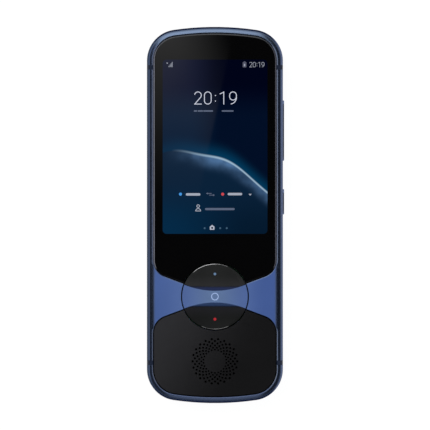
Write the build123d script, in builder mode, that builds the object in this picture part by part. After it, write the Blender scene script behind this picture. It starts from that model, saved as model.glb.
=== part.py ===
"""Handheld translator: a slim bar with a touch display, a round three-zone key on a narrow waist,
a speaker grille, side keys and a card tray. It lies on its back: +Z is out of the display,
+Y is its top end, +X is the side with the keys, and the origin is the middle of the back face.
All lengths are in millimetres.
"""

import os
from math import cos, radians, sin, tan

from build123d import *

# ---- Display and the layout down the front -------------------------------------------------
display_width = 43.6
display_length = 75.0
display_corner = 1.2
display_side_margin = 4.4  # from the display to the side of the body
display_top_margin = 10.1  # from the display to the top end
display_to_key = 5.7  # from the display to the key's hole
key_hole_radius = 13.1
key_to_speaker = 24.9  # between their centres
speaker_to_end = 16.2  # from the speaker's centre to the bottom end
bond_thickness = 0.1  # clear adhesive between display and glass
bond_margin = 0.5
well_gap = 0.3
well_width = display_width + 2 * well_gap
well_length = display_length + 2 * well_gap
driver_strip = 4.0  # glass shelf below the active area that carries the flex

# ---- Body ----------------------------------------------------------------------------------
body_width = display_width + 2 * display_side_margin
body_length = (
    display_top_margin + display_length + display_to_key + key_hole_radius + key_to_speaker + speaker_to_end
)
body_thickness = 13.0
top_y = body_length / 2
display_y = top_y - display_top_margin - display_length / 2
waist_y = display_y - display_length / 2 - display_to_key - key_hole_radius
speaker_y = waist_y - key_to_speaker
end_radius = 110.0  # long arc across the top and bottom ends
corner_radius = 12.0  # blends an end arc into a side
rail_wall = 1.8  # side wall of the frame and of the rear cover
right_x = body_width / 2
inner_x = right_x - rail_wall
parting_z = 3.6  # where the rear cover meets the frame
front_edge_radius = 2.2
back_edge_radius = 3.4
back_wall = 1.2
lip_height = 1.2  # rear cover's lip inside the frame
lip_wall = 0.8
lip_gap = 0.1
snap_count = 4  # snap lugs on each long side
snap_pitch = 28.0
snap_length = 5.0
snap_reach = 0.4
snap_height = 0.6
fit_gap = 0.1  # all round between a fitted panel or key and its opening

# ---- Front openings and waist --------------------------------------------------------------
opening_inset = 2.45  # from the outline to the edge of a front opening
opening_chamfer = 0.2
waist_half = 2.45  # half the waist's height on the centre line
waist_arc_radius = 30.0
waist_flank_angle = 20.5
waist_corner_radius = 6.8
waist_depth = 2.4  # thickness of the front deck
deck_z = body_thickness - waist_depth
glass_thickness = 0.95
glass_edge_radius = 0.6
panel_thickness = 1.2
panel_edge_radius = 0.3
panel_recess = 0.05  # glass and lower panel sit this far below the deck's front
tape_thickness = 0.15
glass_seat_z = body_thickness - panel_recess - glass_thickness - tape_thickness
panel_seat_z = body_thickness - panel_recess - panel_thickness - tape_thickness
UPPER = 1
LOWER = -1

# ---- Round key -----------------------------------------------------------------------------
key_gap = 0.45  # groove round the key
key_radius = key_hole_radius - key_gap
key_thickness = 2.2
key_edge_radius = 0.2
insert_thickness = 1.6
dish_radius = 10.0  # edge of a finger dish
dish_depth = 1.2
waist_wall_slope = 50.0  # lean of the wall between the key's waist and a dish
dot_distance = 8.7  # light dots and switches from the key's centre
blue_dot_radius = 0.5
red_dot_radius = 0.55
icon_outer_radius = 1.45
icon_line = 0.32
icon_depth = 0.3
pivot_z = 9.6
pivot_radius = 0.6
pivot_length = 22.0
pivot_fit = 0.03
lug_thickness = 2.0
lug_width = 2.8
lug_distance = 7.0
lug_drop = 0.7  # lug material below the pin's axis
press_travel = 0.25
rock_angle = 1.5
plunger_radius = 1.2
carrier_thickness = 1.2
carrier_outer_radius = 11.9
carrier_window = (18.4, 6.0)
post_x = 14.2
post_y = 6.0
post_radius = 0.8
post_fit = 0.05
ear_radius = 1.9
stop_gap = 0.05
board_thickness = 0.8
dome_height = 0.3
dome_radius = 2.0
dome_taper = 45  # degrees
key_board_z = 7.4  # underside of the key board
bracket_side_gap = 2.4  # from the key bracket to the frame's wall
key_bracket_width = 2 * (inner_x - bracket_side_gap)
key_bracket_length = 26.0
bracket_plate = 0.8
bracket_leg = 5.0
bracket_corner = 2.0
key_board_length = 24.0

# ---- Speaker and grille --------------------------------------------------------------------
grille_rings = 6
grille_holes = 22  # in each ring
grille_first_ring = 4.45
grille_last_ring = 8.6
grille_small_hole = 0.29
grille_large_hole = 0.38
grille_hole_sides = 8
deck_port_radius = 9.8
mesh_radius = 9.4
mesh_thickness = 0.15
speaker_radius = 8.5
speaker_wall = 0.8
speaker_bottom_z = 7.6
basket_floor = 0.6
gasket_thickness = 0.3
yoke_radius = 5.5
yoke_wall = 0.6
yoke_bottom_z = 6.2
yoke_height = 3.2
magnet_radius = 4.0
magnet_height = 2.0
pole_thickness = 0.5
coil_radius = 4.5
coil_wall = 0.3
coil_height = 2.3
coil_gap = 1.1  # under the coil's lower end
cone_radius = 6.6
cone_wall = 0.2
cone_rise = 0.5
dome_rise = 0.45
surround_fit = 0.05
speaker_bracket_length = 18.7
speaker_bracket_side_gap = 3.4
speaker_bracket_width = 2 * (inner_x - speaker_bracket_side_gap)
vent_count = 6
vent_hole_radius = 0.7

# ---- Side keys -----------------------------------------------------------------------------
side_key_z = 7.2
side_key_height = 3.0
side_key_proud = 0.5
side_key_edge = 0.2
volume_from_top = 39.9
volume_y = top_y - volume_from_top
volume_length = 23.3
volume_to_power = 27.5
power_y = volume_y - volume_to_power
power_length = 9.8
flange_thickness = 0.6
flange_reach = 0.5
volume_flange_gap = 0.3  # lets the ends rock outwards
power_flange_gap = 0.05
nub_length = 0.3
nub_radius = 0.8
volume_nub_distance = 8.5
side_dome_height = 0.25
side_dome_radius = 1.4
side_plate_thickness = 0.4
side_plate_height = 4.6
side_plate_gap = 1.6  # from the plate to the frame's wall
side_plate_x = inner_x - side_plate_gap
side_plate_margin = 2.4
side_post_width = 1.6

# ---- Card tray -----------------------------------------------------------------------------
tray_from_top = 24.5
tray_y = top_y - tray_from_top
tray_z = 7.2
tray_head_length = 11.0
tray_head_height = 1.9
tray_head_depth = 1.0
tray_width = 10.0
tray_length = 17.0
tray_thickness = 0.8
card_length = 12.3
card_width = 8.8
card_thickness = 0.67
card_corner = 1.65
card_end_gap = 1.0
card_rim = 1.0  # of the tray, under the card
reader_height = 2.2
reader_wall = 0.25
eject_hole_radius = 0.45
eject_hole_offset = 4.3

# ---- Boards, battery and chassis -----------------------------------------------------------
screw_radius = 0.7
screw_head_radius = 1.3
screw_head_height = 0.5
screw_grip = 1.0
boss_radius = 1.6
screw_inset = 2.4  # from a plate's or board's edge to a screw
mid_plate_thickness = 0.5
mid_plate_gap = 0.2
mid_plate_end_gap = 5.5  # to the top end
mid_plate_low_gap = 0.25  # to the key bracket
mid_plate_low_y = waist_y + key_bracket_length / 2 + mid_plate_low_gap
mid_plate_high_y = top_y - mid_plate_end_gap
main_board_z = 5.0
main_board_length = 27.5
main_board_end_gap = 5.0
main_board_high_y = top_y - main_board_end_gap
main_board_low_y = main_board_high_y - main_board_length
main_board_side_gap = 2.2
main_board_half_width = inner_x - main_board_side_gap
board_arm_width = 5.0
board_arm_end_gap = 5.4  # short of the mid plate's lower edge
board_arm_low_y = mid_plate_low_y + board_arm_end_gap
can_height = 1.6
can_wall = 0.2
can_corner = 0.6
can_gap = 1.2  # round a shield, to its neighbours on the board
front_shield_length = 22.0
rear_shield_size = (19.0, 19.0)
battery_gap = 1.3  # round the battery
battery_side_gap = 2.7  # from the battery to the frame's left wall
battery_width = inner_x - battery_side_gap + main_board_half_width - board_arm_width - battery_gap
battery_thickness = 7.2
battery_x = battery_side_gap - inner_x + battery_width / 2
battery_low_y = mid_plate_low_y + 2 * screw_inset + battery_gap  # clear of the lower plate screws
battery_high_y = main_board_low_y - battery_gap
battery_length = battery_high_y - battery_low_y
battery_y = (battery_low_y + battery_high_y) / 2
battery_edge_radius = 2.0
battery_tape_width = 9.0
battery_tape_margin = 2.0
usb_board_z = main_board_z
usb_board_end_gap = 3.9
usb_board_low_y = usb_board_end_gap - body_length / 2
usb_board_length = 18.6
usb_board_high_y = usb_board_low_y + usb_board_length
usb_board_side_gap = 3.4
usb_board_width = 2 * (inner_x - usb_board_side_gap)
flex_width = 3.0
flex_thickness = 0.15
flex_overlap = 3.0  # of the link flex on each board
high_screw_inset = 9.4  # from the side wall to the upper plate screws
low_screw_inset = 3.8  # from the side wall to the lower plate screws
plate_screw_points = (
    (inner_x - high_screw_inset, mid_plate_high_y - screw_inset),
    (high_screw_inset - inner_x, mid_plate_high_y - screw_inset),
    (inner_x - low_screw_inset, mid_plate_low_y + screw_inset),
    (low_screw_inset - inner_x, mid_plate_low_y + screw_inset),
)
board_screw_x = main_board_half_width - screw_inset
board_screw_points = (
    (board_screw_x, main_board_low_y + screw_inset),
    (-board_screw_x, main_board_high_y - 2 * screw_inset),
    (board_screw_x, board_arm_low_y + flex_overlap + screw_inset),
)
key_screw_x = (key_bracket_width - bracket_leg) / 2
key_screw_points = ((key_screw_x, waist_y), (-key_screw_x, waist_y))
speaker_screw_x = (speaker_bracket_width - bracket_leg) / 2
speaker_screw_points = ((speaker_screw_x, speaker_y), (-speaker_screw_x, speaker_y))
usb_screw_x = 14.6
usb_screw_inset = 6.5
usb_screw_y = usb_board_low_y + usb_screw_inset
usb_screw_points = ((usb_screw_x, usb_screw_y), (-usb_screw_x, usb_screw_y))

# ---- Charging socket and microphones -------------------------------------------------------
usb_width = 8.94
usb_height = 3.2
usb_z = usb_board_z + board_thickness + usb_height / 2
usb_length = 6.6
usb_wall = 0.25
usb_setback = 0.5
usb_mouth_gap = 0.15
tongue_width = 6.7
tongue_thickness = 0.7
tongue_length = 4.4
mic_hole_radius = 0.5
mic_x = 12.0
mic_width = 3.0
mic_depth = 2.0
mic_height = 1.0
mic_boot_height = 2.4

# ---- Camera and flash ----------------------------------------------------------------------
camera_from_side = 12.4  # from the frame's right wall
camera_from_top = 15.9
camera_x = inner_x - camera_from_side
camera_y = top_y - camera_from_top
camera_ring_radius = 6.0
camera_flange_reach = 0.8
camera_flange_thickness = 0.3
camera_bore_radius = 3.3
camera_window_radius = 4.2
camera_window_thickness = 0.65
camera_recess = 0.05
camera_body = 8.4
camera_body_z = 3.0
camera_body_height = 3.6
camera_body_corner = 0.5
camera_bracket_wall = 1.0
camera_barrel_radius = 3.1
lens_cone_taper = 30  # degrees
camera_cut = 9.4
camera_to_flash = 10.2
flash_x = camera_x - camera_to_flash
flash_radius = 1.9
flash_flange = 0.6
flash_top_z = 4.5
flash_led_size = (2.0, 1.6)
part_gap = 0.05  # between a seated part and its hole

os.makedirs("parts", exist_ok=True)


def body_outline(inset):
    """The body's outline, drawn in by the given distance all round."""
    with BuildSketch() as outline:
        Rectangle(body_width - 2 * inset, body_length - 2 * inset)
        for end in (UPPER, LOWER):
            with Locations((0, end * (body_length / 2 - end_radius))):
                Circle(end_radius - inset, mode=Mode.INTERSECT)
        fillet(outline.vertices(), corner_radius - inset)
    return outline.sketch


def beyond_waist(facing, inset):
    """The area on one side of the waist, past its arc and its two straight flanks."""
    radius = waist_arc_radius - inset
    flank = radians(waist_flank_angle)
    low = waist_y + facing * (waist_half + inset)
    start_x = radius * sin(flank)
    start_y = low + facing * radius * (1 - cos(flank))
    far_x = body_width
    flank_y = start_y + facing * (far_x - start_x) * tan(flank)
    far_y = facing * body_length
    with BuildSketch() as area:
        with BuildLine():
            ThreePointArc((-start_x, start_y), (0, low), (start_x, start_y))
            Polyline(
                (start_x, start_y), (far_x, flank_y), (far_x, far_y),
                (-far_x, far_y), (-far_x, flank_y), (-start_x, start_y),
            )
        make_face()
    return area.sketch


def front_opening(facing, inset=0.0):
    """One of the two front openings, above or below the waist, drawn in by the given distance."""
    half_width = body_width / 2 - opening_inset - inset
    with BuildSketch() as opening:
        add(body_outline(opening_inset + inset))
        add(beyond_waist(facing, inset), mode=Mode.INTERSECT)
        side_points = opening.vertices().filter_by(lambda v: abs(v.X) > half_width - 0.01)
        corners = side_points.sort_by(Axis.Y, reverse=facing == LOWER)[:2]
        fillet(corners, waist_corner_radius - inset)
    return opening.sketch


def side_slot(length, height):
    """A slot with round ends in the plane of a side wall."""
    with BuildSketch() as slot:
        SlotOverall(length, height)
    return slot.sketch


def screw_set(points, head_z):
    """Identical pan-head screws, driven up into the deck or a boss from behind."""
    with BuildPart() as screws:
        with BuildSketch(Plane.XY.offset(head_z)):
            with Locations(*points):
                Circle(screw_head_radius)
        extrude(amount=screw_head_height)
        with BuildSketch(Plane.XY.offset(head_z + screw_head_height)):
            with Locations(*points):
                Circle(screw_radius)
        extrude(amount=screw_shank)
    return screws.part


screw_shank = mid_plate_thickness + screw_grip

# ---- Frame: rail, waist and seats, cut through for keys, card, cable, sound and screws -------
side_plane = Plane(origin=(0, 0, side_key_z), x_dir=(0, 1, 0), z_dir=(1, 0, 0))
tray_plane = Plane(origin=(0, tray_y, tray_z), x_dir=(0, 1, 0), z_dir=(1, 0, 0))
usb_plane = Plane(origin=(0, 0, usb_z), x_dir=(1, 0, 0), z_dir=(0, -1, 0))
lug_positions = [(i - (snap_count - 1) / 2) * snap_pitch for i in range(snap_count)]
snap_z = parting_z + lip_height / 2

with BuildPart() as frame_blank:
    with BuildSketch(Plane.XY.offset(parting_z)):
        add(body_outline(0))
    extrude(amount=body_thickness - parting_z)
    fillet(frame_blank.faces().sort_by(Axis.Z)[-1].edges(), front_edge_radius)
    for facing, seat_z in ((UPPER, glass_seat_z), (LOWER, panel_seat_z)):
        with BuildSketch(Plane.XY.offset(seat_z)):
            add(front_opening(facing))
        extrude(amount=body_thickness - seat_z, mode=Mode.SUBTRACT)
    deck_front = frame_blank.faces().filter_by(GeomType.PLANE).sort_by(Axis.Z)[-1]
    chamfer(deck_front.inner_wires().edges(), opening_chamfer)
    with BuildSketch(Plane.XY.offset(parting_z)):
        add(body_outline(rail_wall))
    extrude(amount=deck_z - parting_z, mode=Mode.SUBTRACT)
    # Display well
    with BuildSketch(Plane.XY.offset(deck_z)):
        with Locations((0, display_y)):
            RectangleRounded(well_width, well_length, display_corner)
    extrude(amount=glass_seat_z - deck_z, mode=Mode.SUBTRACT)
    # Round key and speaker
    with BuildSketch(Plane.XY.offset(deck_z)):
        with Locations((0, waist_y)):
            Circle(key_hole_radius)
    extrude(amount=waist_depth, mode=Mode.SUBTRACT)
    with BuildSketch(Plane.XY.offset(deck_z)):
        with Locations((0, speaker_y)):
            Circle(deck_port_radius)
    extrude(amount=waist_depth, mode=Mode.SUBTRACT)
    # Side keys
    with BuildSketch(side_plane.offset(inner_x)):
        for key_y, key_length in ((volume_y, volume_length), (power_y, power_length)):
            with Locations((key_y, 0)):
                add(side_slot(key_length + 2 * fit_gap, side_key_height + 2 * fit_gap))
    extrude(amount=rail_wall, mode=Mode.SUBTRACT)
    # Card tray: a slot through the left wall and a recess for its head
    with BuildSketch(tray_plane.offset(-right_x)):
        add(side_slot(tray_head_length + 2 * fit_gap, tray_head_height + 2 * fit_gap))
    extrude(amount=tray_head_depth, mode=Mode.SUBTRACT)
    with BuildSketch(tray_plane.offset(-right_x)):
        Rectangle(tray_width + 2 * fit_gap, tray_thickness + 2 * fit_gap)
    extrude(amount=rail_wall, mode=Mode.SUBTRACT)
    # Charging socket
    with BuildSketch(usb_plane.offset(body_length / 2)):
        add(side_slot(usb_width + 2 * usb_mouth_gap, usb_height + 2 * usb_mouth_gap))
    extrude(amount=-(rail_wall + fit_gap), mode=Mode.SUBTRACT)
    # Microphones, one in each end
    for end in (UPPER, LOWER):
        with BuildSketch(usb_plane.offset(-end * body_length / 2)):
            with Locations((mic_x, 0)):
                Circle(mic_hole_radius)
        extrude(amount=end * 2 * rail_wall, mode=Mode.SUBTRACT)
    # Screw holes in the deck
    with BuildSketch(Plane.XY.offset(deck_z)):
        with Locations(*plate_screw_points, *key_screw_points, *speaker_screw_points):
            Circle(screw_radius)
    extrude(amount=screw_grip, mode=Mode.SUBTRACT)
    # Recesses that the rear cover's lugs snap into
    with BuildSketch(Plane.XY.offset(snap_z - snap_height / 2 - fit_gap)):
        for side in (1, -1):
            with Locations(*[(side * inner_x, y) for y in lug_positions]):
                Rectangle(2 * (snap_reach + fit_gap), snap_length + 2 * fit_gap)
    extrude(amount=snap_height + 2 * fit_gap, mode=Mode.SUBTRACT)

# ---- Antenna breaks: plastic strips moulded into four slots across the rail ------------------
break_from_end = 15.65
break_y = body_length / 2 - break_from_end
break_width = 1.75
break_depth = 1.2
break_blocks = []
for side in (1, -1):
    for end in (UPPER, LOWER):
        with BuildPart() as block:
            with Locations((side * (right_x - break_depth / 2), end * break_y, body_thickness / 2)):
                Box(break_depth, break_width, body_thickness)
            rail_x = right_x - opening_inset / 2
            rail_z = (glass_seat_z + body_thickness) / 2
            with Locations((side * rail_x, end * break_y, rail_z)):
                Box(opening_inset, break_width, body_thickness - glass_seat_z)
        break_blocks.append(block.part)

with BuildPart() as frame:
    add(frame_blank.part)
    add(break_blocks, mode=Mode.SUBTRACT)
frame.part.label = "frame"
export_step(frame.part, "parts/frame.step")

with BuildPart() as antenna_breaks:
    add(break_blocks)
    add(frame_blank.part, mode=Mode.INTERSECT)
antenna_breaks.part.label = "antenna_breaks"
export_step(antenna_breaks.part, "parts/antenna_breaks.step")

# ---- Rear cover ------------------------------------------------------------------------------
with BuildPart() as rear_cover:
    with BuildSketch():
        add(body_outline(0))
    extrude(amount=parting_z)
    fillet(rear_cover.faces().sort_by(Axis.Z)[0].edges(), back_edge_radius)
    with BuildSketch(Plane.XY.offset(back_wall)):
        add(body_outline(rail_wall + back_wall))
    extrude(amount=parting_z - back_wall, mode=Mode.SUBTRACT)
    with BuildSketch(Plane.XY.offset(parting_z)):
        add(body_outline(rail_wall + lip_gap))
        add(body_outline(rail_wall + lip_gap + lip_wall), mode=Mode.SUBTRACT)
    extrude(amount=lip_height)
    with BuildSketch(Plane.XY.offset(snap_z - snap_height / 2)):
        for side in (1, -1):
            lug_x = side * (inner_x - lip_gap)
            with Locations(*[(lug_x, y) for y in lug_positions]):
                Rectangle(2 * snap_reach, snap_length)
    extrude(amount=snap_height)
    with BuildSketch():
        with Locations((camera_x, camera_y)):
            Circle(camera_ring_radius)
        with Locations((flash_x, camera_y)):
            Circle(flash_radius + part_gap)
    extrude(amount=back_wall, mode=Mode.SUBTRACT)
rear_cover.part.label = "rear_cover"
export_step(rear_cover.part, "parts/rear_cover.step")

# ---- Cover glass, its tape and the display ---------------------------------------------------
with BuildPart() as cover_glass:
    with BuildSketch(Plane.XY.offset(glass_seat_z + tape_thickness)):
        add(front_opening(UPPER, fit_gap))
    extrude(amount=glass_thickness)
    fillet(cover_glass.faces().sort_by(Axis.Z)[-1].edges(), glass_edge_radius)
    with Locations((0, waist_y, body_thickness)):
        Cylinder(key_hole_radius, body_thickness, mode=Mode.SUBTRACT)
cover_glass.part.label = "cover_glass"
export_step(cover_glass.part, "parts/cover_glass.step")

with BuildPart() as cover_glass_tape:
    with BuildSketch(Plane.XY.offset(glass_seat_z)):
        add(front_opening(UPPER, fit_gap))
        with Locations((0, display_y)):
            RectangleRounded(well_width, well_length, display_corner, mode=Mode.SUBTRACT)
        with Locations((0, waist_y)):
            Circle(key_hole_radius + key_gap, mode=Mode.SUBTRACT)
    extrude(amount=tape_thickness)
cover_glass_tape.part.label = "cover_glass_tape"
export_step(cover_glass_tape.part, "parts/cover_glass_tape.step")

display_top_z = glass_seat_z + tape_thickness - bond_thickness
display_low_y = display_y - display_length / 2
with BuildPart() as display_bond:
    with BuildSketch(Plane.XY.offset(display_top_z)):
        with Locations((0, display_y + driver_strip / 2)):
            Rectangle(display_width - 2 * bond_margin, display_length - driver_strip - 2 * bond_margin)
    extrude(amount=bond_thickness)
display_bond.part.label = "display_bond"
export_step(display_bond.part, "parts/display_bond.step")

with BuildPart() as display_module:
    with BuildSketch(Plane.XY.offset(deck_z)):
        with Locations((0, display_y)):
            RectangleRounded(display_width, display_length, display_corner)
    extrude(amount=display_top_z - deck_z)
    with BuildSketch(Plane.XY.offset(display_top_z)):
        with Locations((0, display_low_y + driver_strip / 2)):
            Rectangle(display_width, driver_strip)
    extrude(amount=-(display_top_z - deck_z) / 2, mode=Mode.SUBTRACT)
display_module.part.label = "display_module"
export_step(display_module.part, "parts/display_module.step")

# ---- Lower panel with the grille -------------------------------------------------------------
ring_pitch = (grille_last_ring - grille_first_ring) / (grille_rings - 1)
hole_step = (grille_large_hole - grille_small_hole) / (grille_rings - 1)
with BuildPart() as lower_panel:
    with BuildSketch(Plane.XY.offset(panel_seat_z + tape_thickness)):
        add(front_opening(LOWER, fit_gap))
    extrude(amount=panel_thickness)
    fillet(lower_panel.faces().sort_by(Axis.Z)[-1].edges(), panel_edge_radius)
    with Locations((0, waist_y, body_thickness)):
        Cylinder(key_hole_radius, body_thickness, mode=Mode.SUBTRACT)
    with BuildSketch(Plane.XY.offset(panel_seat_z + tape_thickness)):
        for ring in range(grille_rings):
            # Every other ring is turned by half a step, so that the holes are staggered.
            half_step = (ring % 2) * 180 / grille_holes
            with Locations((0, speaker_y)):
                with PolarLocations(
                    grille_first_ring + ring * ring_pitch, grille_holes, start_angle=90 + half_step
                ):
                    RegularPolygon(grille_small_hole + ring * hole_step, grille_hole_sides)
    extrude(amount=panel_thickness, mode=Mode.SUBTRACT)
lower_panel.part.label = "lower_panel"
export_step(lower_panel.part, "parts/lower_panel.step")

with BuildPart() as lower_panel_tape:
    with BuildSketch(Plane.XY.offset(panel_seat_z)):
        add(front_opening(LOWER, fit_gap))
        with Locations((0, waist_y)):
            Circle(key_hole_radius + key_gap, mode=Mode.SUBTRACT)
        with Locations((0, speaker_y)):
            Circle(deck_port_radius, mode=Mode.SUBTRACT)
    extrude(amount=tape_thickness)
lower_panel_tape.part.label = "lower_panel_tape"
export_step(lower_panel_tape.part, "parts/lower_panel_tape.step")

# ---- Speaker: mesh and gasket under the grille, then the driver ------------------------------
mesh_z = panel_seat_z + tape_thickness - mesh_thickness
gasket_z = mesh_z - gasket_thickness
with BuildPart() as speaker_mesh:
    with Locations((0, speaker_y, mesh_z)):
        Cylinder(mesh_radius, mesh_thickness, align=(Align.CENTER, Align.CENTER, Align.MIN))
speaker_mesh.part.label = "speaker_mesh"
export_step(speaker_mesh.part, "parts/speaker_mesh.step")

with BuildPart() as speaker_gasket:
    with BuildSketch(Plane.XY.offset(gasket_z)):
        with Locations((0, speaker_y)):
            Circle(speaker_radius)
            Circle(speaker_radius - speaker_wall, mode=Mode.SUBTRACT)
    extrude(amount=gasket_thickness)
speaker_gasket.part.label = "speaker_gasket"
export_step(speaker_gasket.part, "parts/speaker_gasket.step")

with BuildPart() as speaker_basket:
    with BuildSketch(Plane.XY.offset(speaker_bottom_z)):
        with Locations((0, speaker_y)):
            Circle(speaker_radius)
            Circle(yoke_radius, mode=Mode.SUBTRACT)
    extrude(amount=gasket_z - speaker_bottom_z)
    with BuildSketch(Plane.XY.offset(speaker_bottom_z + basket_floor)):
        with Locations((0, speaker_y)):
            Circle(speaker_radius - speaker_wall)
    extrude(amount=gasket_z - speaker_bottom_z - basket_floor, mode=Mode.SUBTRACT)
    # Vent windows in the basket's floor
    vent_radius = (yoke_radius + speaker_radius - speaker_wall) / 2
    with BuildSketch(Plane.XY.offset(speaker_bottom_z)):
        with Locations((0, speaker_y)):
            with PolarLocations(vent_radius, vent_count):
                Circle(vent_hole_radius)
    extrude(amount=basket_floor, mode=Mode.SUBTRACT)
speaker_basket.part.label = "speaker_basket"
export_step(speaker_basket.part, "parts/speaker_basket.step")

with BuildPart() as speaker_yoke:
    with BuildSketch(Plane.XY.offset(yoke_bottom_z)):
        with Locations((0, speaker_y)):
            Circle(yoke_radius)
    extrude(amount=yoke_height)
    with BuildSketch(Plane.XY.offset(yoke_bottom_z + yoke_wall)):
        with Locations((0, speaker_y)):
            Circle(yoke_radius - yoke_wall)
    extrude(amount=yoke_height - yoke_wall, mode=Mode.SUBTRACT)
speaker_yoke.part.label = "speaker_yoke"
export_step(speaker_yoke.part, "parts/speaker_yoke.step")

magnet_z = yoke_bottom_z + yoke_wall
with BuildPart() as speaker_magnet:
    with Locations((0, speaker_y, magnet_z)):
        Cylinder(magnet_radius, magnet_height, align=(Align.CENTER, Align.CENTER, Align.MIN))
speaker_magnet.part.label = "speaker_magnet"
export_step(speaker_magnet.part, "parts/speaker_magnet.step")

with BuildPart() as speaker_pole:
    with Locations((0, speaker_y, magnet_z + magnet_height)):
        Cylinder(magnet_radius, pole_thickness, align=(Align.CENTER, Align.CENTER, Align.MIN))
speaker_pole.part.label = "speaker_pole"
export_step(speaker_pole.part, "parts/speaker_pole.step")

coil_z = magnet_z + coil_gap
with BuildPart() as voice_coil:
    with BuildSketch(Plane.XY.offset(coil_z)):
        with Locations((0, speaker_y)):
            Circle(coil_radius + coil_wall / 2)
            Circle(coil_radius - coil_wall / 2, mode=Mode.SUBTRACT)
    extrude(amount=coil_height)
voice_coil.part.label = "voice_coil"
export_step(voice_coil.part, "parts/voice_coil.step")

cone_z = coil_z + coil_height
speaker_section = Plane(origin=(0, speaker_y, 0), x_dir=(1, 0, 0), z_dir=(0, -1, 0))
speaker_axis = Axis((0, speaker_y, 0), (0, 0, 1))
coil_outer = coil_radius + coil_wall / 2
dome_crown = coil_radius / 2
with BuildPart() as speaker_cone:
    with BuildSketch(speaker_section):
        with BuildLine():
            Polyline(
                (0, cone_z + dome_rise),
                (0, cone_z + dome_rise + cone_wall),
                (dome_crown, cone_z + dome_rise + cone_wall),
                (coil_radius, cone_z + cone_wall),
                (cone_radius, cone_z + cone_rise),
                (cone_radius, cone_z + cone_rise - cone_wall),
                (coil_outer, cone_z),
                (coil_radius - coil_wall / 2, cone_z),
                (dome_crown, cone_z + dome_rise),
                close=True,
            )
        make_face()
    revolve(axis=speaker_axis)
speaker_cone.part.label = "speaker_cone"
export_step(speaker_cone.part, "parts/speaker_cone.step")

roll_inner = cone_radius + surround_fit
roll_outer = speaker_radius - speaker_wall
roll_z = cone_z + cone_rise - cone_wall
roll_edge = (roll_outer - roll_inner) / 4
with BuildPart() as speaker_surround:
    with BuildSketch(speaker_section):
        with BuildLine():
            Polyline(
                (roll_inner, roll_z),
                (roll_inner, roll_z + cone_wall),
                (roll_inner + roll_edge, roll_z + 2 * cone_wall),
                (roll_outer - roll_edge, roll_z + 2 * cone_wall),
                (roll_outer, roll_z + cone_wall),
                (roll_outer, roll_z),
                (roll_outer - roll_edge, roll_z + cone_wall),
                (roll_inner + roll_edge, roll_z + cone_wall),
                close=True,
            )
        make_face()
    revolve(axis=speaker_axis)
speaker_surround.part.label = "speaker_surround"
export_step(speaker_surround.part, "parts/speaker_surround.step")

# ---- Speaker bracket: clamps the driver up against the gasket --------------------------------
bracket_bottom_z = speaker_bottom_z - basket_floor
bracket_y = usb_length + usb_setback - body_length / 2 + fit_gap + speaker_bracket_length / 2
with BuildPart() as speaker_bracket:
    with BuildSketch(Plane.XY.offset(bracket_bottom_z)):
        with Locations((0, bracket_y)):
            RectangleRounded(speaker_bracket_width, speaker_bracket_length, bracket_corner)
        with Locations((0, speaker_y)):
            Circle(yoke_radius + fit_gap, mode=Mode.SUBTRACT)
    extrude(amount=basket_floor)
    with BuildSketch(Plane.XY.offset(speaker_bottom_z)):
        for side in (1, -1):
            with Locations((side * (speaker_bracket_width - bracket_leg) / 2, speaker_y)):
                Rectangle(bracket_leg, bracket_leg)
    extrude(amount=deck_z - speaker_bottom_z)
    with BuildSketch(Plane.XY.offset(usb_board_z + board_thickness)):
        with Locations(*usb_screw_points):
            Circle(boss_radius)
    extrude(amount=bracket_bottom_z - usb_board_z - board_thickness)
    with BuildSketch(Plane.XY.offset(bracket_bottom_z)):
        with Locations(*speaker_screw_points):
            Circle(screw_radius)
    extrude(amount=deck_z - bracket_bottom_z, mode=Mode.SUBTRACT)
    with BuildSketch(Plane.XY.offset(usb_board_z)):
        with Locations(*usb_screw_points):
            Circle(screw_radius)
    extrude(amount=deck_z - usb_board_z, mode=Mode.SUBTRACT)
speaker_bracket.part.label = "speaker_bracket"
export_step(speaker_bracket.part, "parts/speaker_bracket.step")

# ---- Round key: blue body, two dished inserts, light dots and ring icon ----------------------
key_bottom_z = body_thickness - key_thickness
insert_z = body_thickness - insert_thickness
wall_lean = insert_thickness * tan(radians(waist_wall_slope))
dish_sphere_radius = (dish_radius**2 + dish_depth**2) / (2 * dish_depth)


def key_zone(facing):
    """The dished zone on one side of the key's waist, bounded by a leaning wall and the key's edge."""
    cone_y = waist_y + facing * (waist_half + waist_arc_radius)
    dish_y = waist_y + facing * waist_half
    with BuildPart() as zone:
        with Locations((0, cone_y, insert_z + insert_thickness / 2)):
            Cone(waist_arc_radius - wall_lean, waist_arc_radius, insert_thickness)
        with Locations((0, waist_y, insert_z + insert_thickness / 2)):
            Cylinder(key_radius, insert_thickness, mode=Mode.INTERSECT)
        fillet(zone.edges().filter_by(GeomType.CIRCLE).filter_by(
            lambda e: abs(e.radius - key_radius) < 0.01).sort_by(Axis.Z)[-1], key_edge_radius)
        with Locations((0, dish_y, body_thickness - dish_depth + dish_sphere_radius)):
            Sphere(dish_sphere_radius, mode=Mode.SUBTRACT)
    return zone.part


upper_zone = key_zone(UPPER)
lower_zone = key_zone(LOWER)
dot_points = {UPPER: (0, waist_y + dot_distance), LOWER: (0, waist_y - dot_distance)}
dot_radii = {UPPER: blue_dot_radius, LOWER: red_dot_radius}

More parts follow.
